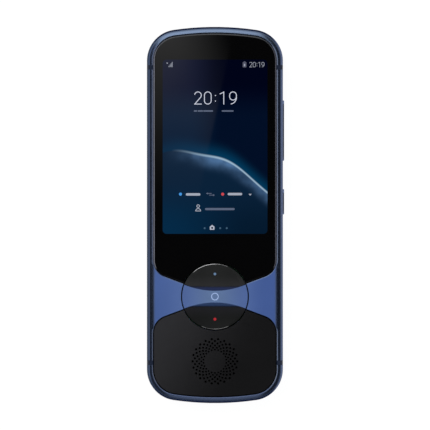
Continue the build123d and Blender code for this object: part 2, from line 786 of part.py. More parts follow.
with BuildPart() as key_disc:
    with BuildSketch(Plane.XY.offset(key_bottom_z)):
        with Locations((0, waist_y)):
            Circle(key_radius)
    extrude(amount=key_thickness)
    fillet(key_disc.edges().sort_by(Axis.Z)[-1], key_edge_radius)
    # The floor under the inserts, then the recess over each of them
    for facing in (UPPER, LOWER):
        cone_y = waist_y + facing * (waist_half + waist_arc_radius)
        with Locations((0, cone_y, insert_z + insert_thickness / 2)):
            Cone(waist_arc_radius - wall_lean, waist_arc_radius, insert_thickness, mode=Mode.SUBTRACT)
    # Plungers over the upper and lower switches
    with BuildSketch(Plane.XY.offset(key_bottom_z)):
        with Locations(*dot_points.values()):
            Circle(plunger_radius)
    plunger_drop = key_bottom_z - (key_board_z + board_thickness + dome_height)
    plunger_length = plunger_drop - press_travel - 2 * stop_gap - dot_distance * sin(radians(rock_angle))
    extrude(amount=-plunger_length)
    # Pivot lugs
    with BuildSketch(Plane.XY.offset(pivot_z - lug_drop)):
        with Locations((lug_distance, waist_y), (-lug_distance, waist_y)):
            Rectangle(lug_thickness, lug_width)
    extrude(amount=key_bottom_z - pivot_z + lug_drop)
    with Locations(Location((0, waist_y, pivot_z), (0, 90, 0))):
        Cylinder(pivot_radius, 2 * (lug_distance + lug_thickness), mode=Mode.SUBTRACT)
    # Bores of the light guides and the groove of the ring icon
    for facing in (UPPER, LOWER):
        with Locations((*dot_points[facing], key_bottom_z)):
            Cylinder(dot_radii[facing], 4 * key_thickness, mode=Mode.SUBTRACT)
    with BuildSketch(Plane.XY.offset(body_thickness)):
        with Locations((0, waist_y)):
            Circle(icon_outer_radius)
            Circle(icon_outer_radius - icon_line, mode=Mode.SUBTRACT)
    extrude(amount=-icon_depth, mode=Mode.SUBTRACT)
key_disc.part.label = "key_disc"
export_step(key_disc.part, "parts/key_disc.step")

with BuildPart() as key_insert_upper:
    add(upper_zone)
    with Locations((*dot_points[UPPER], body_thickness)):
        Cylinder(blue_dot_radius, 2 * key_thickness, mode=Mode.SUBTRACT)
key_insert_upper.part.label = "key_insert_upper"
export_step(key_insert_upper.part, "parts/key_insert_upper.step")

with BuildPart() as key_insert_lower:
    add(lower_zone)
    with Locations((*dot_points[LOWER], body_thickness)):
        Cylinder(red_dot_radius, 2 * key_thickness, mode=Mode.SUBTRACT)
key_insert_lower.part.label = "key_insert_lower"
export_step(key_insert_lower.part, "parts/key_insert_lower.step")

guide_low_z = key_bottom_z - plunger_length
dish_drop = dish_sphere_radius - (dish_sphere_radius**2 - (dot_distance - waist_half) ** 2) ** 0.5
dot_z = body_thickness - dish_depth + dish_drop
with BuildPart() as light_guide_blue:
    with Locations((*dot_points[UPPER], guide_low_z)):
        Cylinder(blue_dot_radius, dot_z - guide_low_z, align=(Align.CENTER, Align.CENTER, Align.MIN))
light_guide_blue.part.label = "light_guide_blue"
export_step(light_guide_blue.part, "parts/light_guide_blue.step")

with BuildPart() as light_guide_red:
    with Locations((*dot_points[LOWER], guide_low_z)):
        Cylinder(red_dot_radius, dot_z - guide_low_z, align=(Align.CENTER, Align.CENTER, Align.MIN))
light_guide_red.part.label = "light_guide_red"
export_step(light_guide_red.part, "parts/light_guide_red.step")

with BuildPart() as key_ring_icon:
    with BuildSketch(Plane.XY.offset(body_thickness)):
        with Locations((0, waist_y)):
            Circle(icon_outer_radius)
            Circle(icon_outer_radius - icon_line, mode=Mode.SUBTRACT)
    extrude(amount=-icon_depth)
key_ring_icon.part.label = "key_ring_icon"
export_step(key_ring_icon.part, "parts/key_ring_icon.step")

with BuildPart() as key_pivot_pin:
    with Locations(Location((0, waist_y, pivot_z), (0, 90, 0))):
        Cylinder(pivot_radius, pivot_length)
key_pivot_pin.part.label = "key_pivot_pin"
export_step(key_pivot_pin.part, "parts/key_pivot_pin.step")

# ---- Key carrier: holds the pin and slides on four posts -------------------------------------
post_points = [(side * post_x, waist_y + end * post_y) for side in (1, -1) for end in (1, -1)]
carrier_z = pivot_z - carrier_thickness / 2
with BuildPart() as key_carrier:
    with BuildSketch(Plane.XY.offset(carrier_z)):
        with Locations((0, waist_y)):
            Circle(carrier_outer_radius)
            Rectangle(2 * post_x, 2 * post_y)
        with Locations(*post_points):
            Circle(ear_radius)
        with Locations((0, waist_y)):
            Rectangle(*carrier_window, mode=Mode.SUBTRACT)
        with Locations(*dot_points.values()):
            Circle(2 * plunger_radius, mode=Mode.SUBTRACT)
        with Locations(*post_points):
            Circle(post_radius + post_fit, mode=Mode.SUBTRACT)
    extrude(amount=carrier_thickness)
    # Pads that stop the carrier under the deck
    with BuildSketch(Plane.XY.offset(carrier_z + carrier_thickness)):
        with Locations(*post_points):
            Circle(ear_radius)
            Circle(post_radius + post_fit, mode=Mode.SUBTRACT)
    extrude(amount=deck_z - stop_gap - carrier_z - carrier_thickness)
    with Locations(Location((0, waist_y, pivot_z), (0, 90, 0))):
        Cylinder(pivot_radius + pivot_fit, pivot_length + 2 * fit_gap, mode=Mode.SUBTRACT)
key_carrier.part.label = "key_carrier"
export_step(key_carrier.part, "parts/key_carrier.step")

# ---- Key bracket with guide posts, key board and domes ---------------------------------------
key_bracket_z = key_board_z - bracket_plate
with BuildPart() as key_bracket:
    with BuildSketch(Plane.XY.offset(key_bracket_z)):
        with Locations((0, waist_y)):
            RectangleRounded(key_bracket_width, key_bracket_length, bracket_corner)
    extrude(amount=bracket_plate)
    with BuildSketch(Plane.XY.offset(key_board_z)):
        for side in (1, -1):
            with Locations((side * (key_bracket_width - bracket_leg) / 2, waist_y)):
                Rectangle(bracket_leg, bracket_leg)
        with Locations(*post_points):
            Circle(post_radius)
    extrude(amount=deck_z - key_board_z)
    with BuildSketch(Plane.XY.offset(key_bracket_z)):
        with Locations(*key_screw_points):
            Circle(screw_radius)
    extrude(amount=deck_z - key_bracket_z, mode=Mode.SUBTRACT)
key_bracket.part.label = "key_bracket"
export_step(key_bracket.part, "parts/key_bracket.step")

key_board_width = key_bracket_width - 2 * bracket_leg - 2 * fit_gap
with BuildPart() as key_board:
    with BuildSketch(Plane.XY.offset(key_board_z)):
        with Locations((0, waist_y)):
            RectangleRounded(key_board_width, key_board_length, bracket_corner / 2)
        with Locations(*post_points):
            Circle(post_radius + fit_gap, mode=Mode.SUBTRACT)
    extrude(amount=board_thickness)
key_board.part.label = "key_board"
export_step(key_board.part, "parts/key_board.step")

dome_points = (dot_points[UPPER], (0, waist_y), dot_points[LOWER])
with BuildPart() as key_domes:
    with BuildSketch(Plane.XY.offset(key_board_z + board_thickness)):
        with Locations(*dome_points):
            Circle(dome_radius)
    extrude(amount=dome_height, taper=dome_taper)
key_domes.part.label = "key_domes"
export_step(key_domes.part, "parts/key_domes.step")

# ---- Side keys -------------------------------------------------------------------------------


def side_key(key_y, length, flange_gap, nub_points):
    """A bar key whose cap stands out of the right wall and whose flange stays inside it."""
    flange_x = inner_x - flange_gap
    with BuildPart() as key:
        with BuildSketch(side_plane.offset(flange_x)):
            with Locations((key_y, 0)):
                add(side_slot(length, side_key_height))
        extrude(amount=right_x + side_key_proud - flange_x)
        fillet(key.faces().sort_by(Axis.X)[-1].edges(), side_key_edge)
        with BuildSketch(side_plane.offset(flange_x)):
            with Locations((key_y, 0)):
                add(side_slot(length + 2 * flange_reach, side_key_height + 2 * flange_reach))
        extrude(amount=-flange_thickness)
        with BuildSketch(side_plane.offset(flange_x - flange_thickness)):
            with Locations(*[(y, 0) for y in nub_points]):
                Circle(nub_radius)
        extrude(amount=-nub_length / 2)
    return key.part


volume_nubs = (volume_y + volume_nub_distance, volume_y - volume_nub_distance)
with BuildPart() as volume_key:
    add(side_key(volume_y, volume_length, volume_flange_gap, volume_nubs))
volume_key.part.label = "volume_key"
export_step(volume_key.part, "parts/volume_key.step")

with BuildPart() as power_key:
    add(side_key(power_y, power_length, power_flange_gap, (power_y,)))
power_key.part.label = "power_key"
export_step(power_key.part, "parts/power_key.step")

# ---- Side key plate with its domes -----------------------------------------------------------
plate_low_y = power_y - power_length / 2 - side_plate_margin
plate_high_y = volume_y + volume_length / 2 + side_plate_margin
with BuildPart() as side_key_plate:
    with BuildSketch(side_plane.offset(side_plate_x - side_plate_thickness)):
        with Locations(((plate_low_y + plate_high_y) / 2, 0)):
            Rectangle(plate_high_y - plate_low_y, side_plate_height)
    extrude(amount=side_plate_thickness)
    # Feet that hold it off the wall, clear of both keys
    with BuildSketch(side_plane.offset(side_plate_x)):
        foot_ys = (plate_low_y, (power_y + power_length / 2 + volume_y - volume_length / 2) / 2, plate_high_y)
        for foot_y, shift in zip(foot_ys, (0.5, 0, -0.5)):
            with Locations((foot_y + shift * side_post_width, 0)):
                Rectangle(side_post_width, side_plate_height)
    extrude(amount=inner_x - side_plate_x)
side_key_plate.part.label = "side_key_plate"
export_step(side_key_plate.part, "parts/side_key_plate.step")

with BuildPart() as side_key_domes:
    with BuildSketch(side_plane.offset(side_plate_x)):
        with Locations(*[(y, 0) for y in (*volume_nubs, power_y)]):
            Circle(side_dome_radius)
    extrude(amount=side_dome_height, taper=dome_taper)
side_key_domes.part.label = "side_key_domes"
export_step(side_key_domes.part, "parts/side_key_domes.step")

# ---- Card tray, card and reader --------------------------------------------------------------
blade_x = tray_head_depth - right_x  # outer end of the blade
card_x = blade_x + tray_length - card_end_gap - card_length / 2
tray_bottom_z = tray_z - tray_thickness / 2


def card_outline(grow):
    """A card with one clipped corner, grown by the given distance."""
    with BuildSketch() as card:
        with Locations((card_x, tray_y)):
            Rectangle(card_length + 2 * grow, card_width + 2 * grow)
        chamfer(card.vertices().sort_by(Axis.X)[-2:].sort_by(Axis.Y)[-1], card_corner)
    return card.sketch


with BuildPart() as sim_tray:
    with BuildSketch(tray_plane.offset(-right_x)):
        add(side_slot(tray_head_length, tray_head_height))
    extrude(amount=tray_head_depth - part_gap)
    with BuildSketch(Plane.XY.offset(tray_bottom_z)):
        with Locations((blade_x + tray_length / 2 - part_gap / 2, tray_y)):
            Rectangle(tray_length + part_gap, tray_width)
    extrude(amount=tray_thickness)
    with BuildSketch(Plane.XY.offset(tray_bottom_z + tray_thickness)):
        add(card_outline(part_gap))
    extrude(amount=-card_thickness, mode=Mode.SUBTRACT)
    # The recess is open below except for a rim that the card rests on
    with BuildSketch(Plane.XY.offset(tray_bottom_z)):
        with Locations((card_x, tray_y)):
            Rectangle(card_length - 2 * card_rim, card_width - 2 * card_rim)
    extrude(amount=tray_thickness, mode=Mode.SUBTRACT)
    with BuildSketch(tray_plane.offset(-right_x)):
        with Locations((eject_hole_offset, 0)):
            Circle(eject_hole_radius)
    extrude(amount=tray_head_depth, mode=Mode.SUBTRACT)
sim_tray.part.label = "sim_tray"
export_step(sim_tray.part, "parts/sim_tray.step")

with BuildPart() as sim_card:
    with BuildSketch(Plane.XY.offset(tray_bottom_z + tray_thickness)):
        add(card_outline(0))
    extrude(amount=-card_thickness)
sim_card.part.label = "sim_card"
export_step(sim_card.part, "parts/sim_card.step")

reader_x = fit_gap - inner_x
reader_length = tray_length + blade_x - reader_x + fit_gap + reader_wall
board_top_z = main_board_z + board_thickness
with BuildPart() as sim_reader:
    with BuildSketch(Plane.XY.offset(board_top_z)):
        with Locations((reader_x + reader_length / 2, tray_y)):
            Rectangle(reader_length, tray_width + 2 * fit_gap + 2 * reader_wall)
    extrude(amount=reader_height)
    with BuildSketch(Plane.XY.offset(tray_bottom_z - fit_gap)):
        with Locations((reader_x + (reader_length - reader_wall) / 2, tray_y)):
            Rectangle(reader_length - reader_wall, tray_width + 2 * fit_gap)
    extrude(amount=tray_thickness + 2 * fit_gap, mode=Mode.SUBTRACT)
sim_reader.part.label = "sim_reader"
export_step(sim_reader.part, "parts/sim_reader.step")

# ---- Mid plate: carries the display, the battery and the main board ---------------------------
mid_plate_z = deck_z - mid_plate_thickness
with BuildPart() as mid_plate:
    with BuildSketch(Plane.XY.offset(mid_plate_z)):
        add(body_outline(rail_wall + mid_plate_gap))
        with Locations((0, (mid_plate_low_y + mid_plate_high_y) / 2)):
            Rectangle(body_width, mid_plate_high_y - mid_plate_low_y, mode=Mode.INTERSECT)
        with Locations((0, waist_y)):
            Circle(key_hole_radius + key_gap, mode=Mode.SUBTRACT)
    extrude(amount=mid_plate_thickness)
    with BuildSketch(Plane.XY.offset(board_top_z)):
        with Locations(*board_screw_points):
            Circle(boss_radius)
    extrude(amount=mid_plate_z - board_top_z)
    with BuildSketch(Plane.XY.offset(mid_plate_z)):
        with Locations(*plate_screw_points):
            Circle(screw_radius)
    extrude(amount=mid_plate_thickness, mode=Mode.SUBTRACT)
    with BuildSketch(Plane.XY.offset(board_top_z)):
        with Locations(*board_screw_points):
            Circle(screw_radius)
    extrude(amount=screw_shank, mode=Mode.SUBTRACT)
mid_plate.part.label = "mid_plate"
export_step(mid_plate.part, "parts/mid_plate.step")

with BuildPart() as plate_screws:
    add(screw_set(plate_screw_points, mid_plate_z - screw_head_height))
plate_screws.part.label = "plate_screws"
export_step(plate_screws.part, "parts/plate_screws.step")

# ---- Main board, shields and battery ---------------------------------------------------------
main_board_y = (main_board_low_y + main_board_high_y) / 2
arm_x = main_board_half_width - board_arm_width / 2
with BuildPart() as main_board:
    with BuildSketch(Plane.XY.offset(main_board_z)):
        with Locations((0, main_board_y)):
            Rectangle(2 * main_board_half_width, main_board_length)
        with Locations((arm_x, (board_arm_low_y + main_board_low_y) / 2)):
            Rectangle(board_arm_width, main_board_low_y - board_arm_low_y)
        add(body_outline(rail_wall + lip_gap + lip_wall + fit_gap), mode=Mode.INTERSECT)
        with Locations((camera_x, camera_y)):
            Rectangle(camera_cut, camera_cut, mode=Mode.SUBTRACT)
        with Locations(*board_screw_points):
            Circle(screw_radius + fit_gap, mode=Mode.SUBTRACT)
    extrude(amount=board_thickness)
main_board.part.label = "main_board"
export_step(main_board.part, "parts/main_board.step")

with BuildPart() as board_screws:
    add(screw_set(board_screw_points, main_board_z - screw_head_height))
board_screws.part.label = "board_screws"
export_step(board_screws.part, "parts/board_screws.step")


def shield_can(centre, size, base_z, direction):
    """A pressed shield soldered to a board, open towards the board."""
    with BuildPart() as can:
        with BuildSketch(Plane.XY.offset(base_z)):
            with Locations(centre):
                RectangleRounded(*size, can_corner)
        extrude(amount=direction * can_height)
        with BuildSketch(Plane.XY.offset(base_z)):
            with Locations(centre):
                Rectangle(size[0] - 2 * can_wall, size[1] - 2 * can_wall)
        extrude(amount=direction * (can_height - can_wall), mode=Mode.SUBTRACT)
    return can.part


# The front shield fills the board between the card reader and the camera.
shield_low_x = reader_x + reader_length + can_gap
shield_high_x = camera_x - camera_cut / 2 - can_gap
front_shield_centre = ((shield_low_x + shield_high_x) / 2, main_board_y)
front_shield_size = (shield_high_x - shield_low_x, front_shield_length)
with BuildPart() as front_shield:
    add(shield_can(front_shield_centre, front_shield_size, board_top_z, 1))
front_shield.part.label = "front_shield"
export_step(front_shield.part, "parts/front_shield.step")

rear_shield_centre = (
    can_gap - main_board_half_width + rear_shield_size[0] / 2,
    main_board_low_y + can_gap + rear_shield_size[1] / 2,
)
with BuildPart() as rear_shield:
    add(shield_can(rear_shield_centre, rear_shield_size, main_board_z, -1))
rear_shield.part.label = "rear_shield"
export_step(rear_shield.part, "parts/rear_shield.step")

battery_z = mid_plate_z - tape_thickness - battery_thickness
with BuildPart() as battery:
    with BuildSketch(Plane.XY.offset(battery_z)):
        with Locations((battery_x, battery_y)):
            Rectangle(battery_width, battery_length)
    extrude(amount=battery_thickness)
    fillet(battery.edges().filter_by(Axis.Y), battery_edge_radius)
battery.part.label = "battery"
export_step(battery.part, "parts/battery.step")

with BuildPart() as battery_tapes:
    with BuildSketch(Plane.XY.offset(mid_plate_z - tape_thickness)):
        for side in (1, -1):
            with Locations((battery_x + side * battery_width / 4, battery_y)):
                Rectangle(battery_tape_width, battery_length - 2 * battery_tape_margin)
    extrude(amount=tape_thickness)
battery_tapes.part.label = "battery_tapes"
export_step(battery_tapes.part, "parts/battery_tapes.step")

# ---- Charging socket, its board and the flex to the main board --------------------------------
usb_inner_y = usb_setback - body_length / 2 + usb_length
with BuildPart() as usb_board:
    with BuildSketch(Plane.XY.offset(usb_board_z)):
        with Locations((0, (usb_board_low_y + usb_board_high_y) / 2)):
            Rectangle(usb_board_width, usb_board_high_y - usb_board_low_y)
        add(body_outline(rail_wall + lip_gap + lip_wall + fit_gap), mode=Mode.INTERSECT)
        with Locations(*usb_screw_points):
            Circle(screw_radius + fit_gap, mode=Mode.SUBTRACT)
    extrude(amount=board_thickness)
usb_board.part.label = "usb_board"
export_step(usb_board.part, "parts/usb_board.step")

with BuildPart() as usb_receptacle:
    with BuildSketch(usb_plane.offset(-usb_inner_y)):
        add(side_slot(usb_width, usb_height))
    extrude(amount=usb_length)
    with BuildSketch(usb_plane.offset(-usb_inner_y + usb_wall)):
        add(side_slot(usb_width - 2 * usb_wall, usb_height - 2 * usb_wall))
    extrude(amount=usb_length - usb_wall, mode=Mode.SUBTRACT)
usb_receptacle.part.label = "usb_receptacle"
export_step(usb_receptacle.part, "parts/usb_receptacle.step")

with BuildPart() as usb_tongue:
    with BuildSketch(usb_plane.offset(-usb_inner_y + usb_wall)):
        Rectangle(tongue_width, tongue_thickness)
    extrude(amount=tongue_length)
usb_tongue.part.label = "usb_tongue"
export_step(usb_tongue.part, "parts/usb_tongue.step")

with BuildPart() as usb_screws:
    add(screw_set(usb_screw_points, usb_board_z - screw_head_height))
usb_screws.part.label = "usb_screws"
export_step(usb_screws.part, "parts/usb_screws.step")

with BuildPart() as bracket_screws:
    add(screw_set(key_screw_points, key_bracket_z - screw_head_height))
    add(screw_set(speaker_screw_points, bracket_bottom_z - screw_head_height))
bracket_screws.part.label = "bracket_screws"
export_step(bracket_screws.part, "parts/bracket_screws.step")

flex_low_y = usb_board_high_y - flex_overlap
flex_high_y = board_arm_low_y + flex_overlap
with BuildPart() as link_flex:
    with BuildSketch(Plane.XY.offset(board_top_z)):
        with Locations((arm_x, (flex_low_y + flex_high_y) / 2)):
            Rectangle(flex_width, flex_high_y - flex_low_y)
    extrude(amount=flex_thickness)
link_flex.part.label = "link_flex"
export_step(link_flex.part, "parts/link_flex.step")

# ---- Microphones on the ends of the boards, with soft boots up to their holes -----------------
mic_ends = ((UPPER, main_board_high_y), (LOWER, usb_board_low_y))
with BuildPart() as microphones:
    for end, board_end_y in mic_ends:
        with Locations((mic_x, board_end_y - end * mic_depth / 2, board_top_z + mic_height / 2)):
            Box(mic_width, mic_depth, mic_height)
microphones.part.label = "microphones"
export_step(microphones.part, "parts/microphones.step")

with BuildPart() as mic_boots:
    with BuildSketch(Plane.XY.offset(board_top_z)):
        for end, board_end_y in mic_ends:
            with Locations((mic_x, (board_end_y + end * body_length / 2) / 2)):
                Rectangle(mic_width, body_length / 2 - abs(board_end_y))
        add(body_outline(rail_wall + part_gap), mode=Mode.INTERSECT)
    extrude(amount=mic_boot_height)
    with Locations(Location((mic_x, 0, usb_z), (90, 0, 0))):
        Cylinder(mic_hole_radius, body_length, mode=Mode.SUBTRACT)
mic_boots.part.label = "mic_boots"
export_step(mic_boots.part, "parts/mic_boots.step")

# ---- Camera and flash ------------------------------------------------------------------------
with BuildPart() as camera_ring:
    with BuildSketch(Plane.XY.offset(camera_recess)):
        with Locations((camera_x, camera_y)):
            Circle(camera_ring_radius - part_gap)
    extrude(amount=back_wall - camera_recess)
    with BuildSketch(Plane.XY.offset(back_wall)):
        with Locations((camera_x, camera_y)):
            Circle(camera_ring_radius + camera_flange_reach)
    extrude(amount=camera_flange_thickness)
    with BuildSketch(Plane.XY.offset(camera_recess)):
        with Locations((camera_x, camera_y)):
            Circle(camera_bore_radius)
    extrude(amount=2 * back_wall, mode=Mode.SUBTRACT)
    with BuildSketch(Plane.XY.offset(camera_recess)):
        with Locations((camera_x, camera_y)):
            Circle(camera_window_radius + part_gap)
    extrude(amount=camera_window_thickness + part_gap, mode=Mode.SUBTRACT)
camera_ring.part.label = "camera_ring"
export_step(camera_ring.part, "parts/camera_ring.step")

with BuildPart() as camera_window:
    with BuildSketch(Plane.XY.offset(camera_recess + part_gap)):
        with Locations((camera_x, camera_y)):
            Circle(camera_window_radius)
    extrude(amount=camera_window_thickness)
camera_window.part.label = "camera_window"
export_step(camera_window.part, "parts/camera_window.step")

barrel_z = back_wall + camera_flange_thickness + part_gap
with BuildPart() as camera_module:
    with BuildSketch(Plane.XY.offset(camera_body_z)):
        with Locations((camera_x, camera_y)):
            RectangleRounded(camera_body, camera_body, camera_body_corner)
    extrude(amount=camera_body_height)
    with BuildSketch(Plane.XY.offset(camera_body_z)):
        with Locations((camera_x, camera_y)):
            Circle(camera_barrel_radius)
    extrude(amount=barrel_z - camera_body_z)
    with BuildSketch(Plane.XY.offset(barrel_z)):
        with Locations((camera_x, camera_y)):
            Circle(camera_barrel_radius / 2)
    extrude(amount=back_wall - part_gap, taper=lens_cone_taper, mode=Mode.SUBTRACT)
camera_module.part.label = "camera_module"
export_step(camera_module.part, "parts/camera_module.step")

bracket_hole = camera_body - 2 * camera_bracket_wall
with BuildPart() as camera_bracket:
    with BuildSketch(Plane.XY.offset(camera_body_z + camera_body_height)):
        with Locations((camera_x, camera_y)):
            Rectangle(camera_body, camera_body)
            Rectangle(bracket_hole, bracket_hole, mode=Mode.SUBTRACT)
    extrude(amount=mid_plate_z - camera_body_z - camera_body_height)
camera_bracket.part.label = "camera_bracket"
export_step(camera_bracket.part, "parts/camera_bracket.step")

with BuildPart() as flash_lens:
    with BuildSketch(Plane.XY.offset(camera_recess)):
        with Locations((flash_x, camera_y)):
            Circle(flash_radius)
    extrude(amount=flash_top_z - camera_recess)
    with BuildSketch(Plane.XY.offset(back_wall)):
        with Locations((flash_x, camera_y)):
            Circle(flash_radius + flash_flange)
    extrude(amount=camera_flange_thickness)
flash_lens.part.label = "flash_lens"
export_step(flash_lens.part, "parts/flash_lens.step")

with BuildPart() as flash_led:
    with Locations((flash_x, camera_y, (flash_top_z + main_board_z) / 2)):
        Box(*flash_led_size, main_board_z - flash_top_z)
flash_led.part.label = "flash_led"
export_step(flash_led.part, "parts/flash_led.step")
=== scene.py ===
"""Looks and studio of a handheld translator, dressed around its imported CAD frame.

Every piece is in metres in the frame's own axes: X to the right of the display, Y to its
top and Z out of it, measured from the middle of the back face. Places and sizes that are
named here are in millimetres, except those of the studio, which are in metres.
"""

import logging
import math
from collections.abc import Mapping
from dataclasses import dataclass, replace
from enum import Enum
from typing import Any, Protocol

import bmesh
import bpy
from mathutils import Matrix, Vector


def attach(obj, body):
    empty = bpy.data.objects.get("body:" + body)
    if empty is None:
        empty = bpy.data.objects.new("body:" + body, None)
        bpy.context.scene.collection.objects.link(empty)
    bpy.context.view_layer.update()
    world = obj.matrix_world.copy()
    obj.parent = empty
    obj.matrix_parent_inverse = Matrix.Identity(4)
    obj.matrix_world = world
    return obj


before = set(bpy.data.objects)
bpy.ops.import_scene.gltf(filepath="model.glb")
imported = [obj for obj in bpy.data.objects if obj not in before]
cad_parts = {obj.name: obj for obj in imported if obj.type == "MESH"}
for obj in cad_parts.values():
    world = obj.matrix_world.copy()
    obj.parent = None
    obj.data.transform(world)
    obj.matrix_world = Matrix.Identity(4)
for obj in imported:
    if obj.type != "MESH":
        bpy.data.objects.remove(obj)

LOG = logging.getLogger("translator")
# The body that the pieces made here ride on.
HOUSING = "housing"

MM = 0.001
MM_PER_METRE = 1000
FULL_TURN = 2 * math.pi
FULL_CIRCLE = 360.0
HALF_CIRCLE = 180.0

Colour = tuple[int, int, int]
Point = tuple[float, float]
Span = tuple[float, float]
Triple = tuple[float, float, float]
Form = bmesh.types.BMesh

# Black for painted shade, a dark lamp, a full white, and the tint of anodised metal seen at a
# slant.
PAINTED_SHADE_BLACK: Colour = (2, 2, 2)
UNLIT: Colour = (0, 0, 0)
WHITE: Colour = (255, 255, 255)
SLANT_TINT: Colour = (188, 188, 188)

# The curve between a screen's tones and linear ones: straight up to the knee, then a power.
FULL_TONE = 255
TONE_KNEE = 0.04045
TONE_SLOPE = 12.92
TONE_OFFSET = 0.055
TONE_POWER = 2.4
# The sockets of a Mix node that blends colours.
MIX_FIRST, MIX_SECOND, MIX_RESULT = 6, 7, 2

# The middle of the waist and of the round key.
WAIST_Y = -31.4
# The sine and cosine of the angle, left of the top, at which the tent's bright wall stands.
BRIGHT_WAY: Point = (0.174, 0.985)
# The length and width of a triangle whose corners lie on a circle of radius 1.
TRIANGLE: Point = (1.5, math.sqrt(3))
# Edges that are sharper than this, in degrees, aren't shaded as one surface.
SHARP_ANGLE = 32
# Corners that are nearer than this, in metres, are one.
MERGE_DISTANCE = 1e-7


class Side(Enum):
    """The lower or the upper face of the charging socket's tongue."""

    LOW = -1
    HIGH = 1


class Working(Enum):
    """How a metal was worked, as the scale of its marks along X, Y and Z."""

    DRAWN = (1.0, 12.0, 12.0)
    STAMPED = (1.0, 1.0, 1.0)
    BRUSHED = (1.0, 0.04, 1.0)


def linear(colour: Colour, level: float = 1.0) -> tuple[float, float, float, float]:
    """Turns a screen colour into the scene's linear one.

    Args:
        colour: Red, green and blue from 0 to 255.
        level: What the linear values are multiplied by.

    Returns:
        Red, green, blue and an alpha of 1.
    """
    tones = []
    for part in colour:
        tone = part / FULL_TONE
        if tone <= TONE_KNEE:
            tones.append(tone / TONE_SLOPE)
        else:
            tones.append(((tone + TONE_OFFSET) / (1 + TONE_OFFSET)) ** TONE_POWER)
    return (*(tone * level for tone in tones), 1.0)


class Signal:
    """An output socket of a shader node, on which operators add Math nodes."""

    def __init__(self, sheet: "NodeSheet", socket: bpy.types.NodeSocket) -> None:
        """Keeps the socket and the sheet that it is on."""
        self.sheet = sheet
        self.socket = socket

    def maths(self, operation: str, *terms: "Signal | float") -> "Signal":
        """Returns what a Math node makes of the terms."""
        settings = {"operation": operation}
        return self.sheet.add("ShaderNodeMath", settings, dict(enumerate(terms)))

    def __add__(self, other: "Signal | float") -> "Signal":
        """Returns the sum."""
        return self.maths("ADD", self, other)

    __radd__ = __add__

    def __mul__(self, other: "Signal | float") -> "Signal":
        """Returns the product."""
        return self.maths("MULTIPLY", self, other)

    __rmul__ = __mul__

    def __sub__(self, other: "Signal | float") -> "Signal":
        """Returns this less the other."""
        return self.maths("SUBTRACT", self, other)

    def __rsub__(self, other: float) -> "Signal":
        """Returns the other less this."""
        return self.maths("SUBTRACT", other, self)

    def __truediv__(self, other: "Signal | float") -> "Signal":
        """Returns this over the other."""
        return self.maths("DIVIDE", self, other)

    def __pow__(self, power: float) -> "Signal":
        """Returns this raised to a power."""
        return self.maths("POWER", self, power)

    def __abs__(self) -> "Signal":
        """Returns the size without the sign."""
        return self.maths("ABSOLUTE", self)

    def sine(self) -> "Signal":
        """Returns the sine, in radians."""
        return self.maths("SINE", self)

    def whole(self) -> "Signal":
        """Returns the nearest whole number."""
        return self.maths("ROUND", self)

    def angle(self, other: "Signal") -> "Signal":
        """Returns the angle, in radians, at which this is off the other's axis."""
        return self.maths("ARCTAN2", self, other)

    def least(self, other: "Signal | float") -> "Signal":
        """Returns the smaller of the two."""
        return self.maths("MINIMUM", self, other)

    def most(self, other: "Signal | float") -> "Signal":
        """Returns the larger of the two."""
        return self.maths("MAXIMUM", self, other)

    def reach(self, other: "Signal") -> "Signal":
        """Returns the distance whose two legs are this and the other."""
        return (self * self + other * other) ** 0.5

    def ramp(self, low: float, high: float) -> "Signal":
        """Returns 0 at low and 1 at high, with a smooth step between them."""
        settings = {"interpolation_type": "SMOOTHSTEP"}
        return self.sheet.add("ShaderNodeMapRange", settings, {0: self, 1: low, 2: high})

    def fade(self, low: float, high: float) -> "Signal":
        """Returns 1 at low and 0 at high, with a smooth step between them."""
        return 1 - self.ramp(low, high)

    def sway(self, size: float) -> "Signal":
        """Returns how far a noise is off its middle, times a size."""
        return (self - 0.5) * size


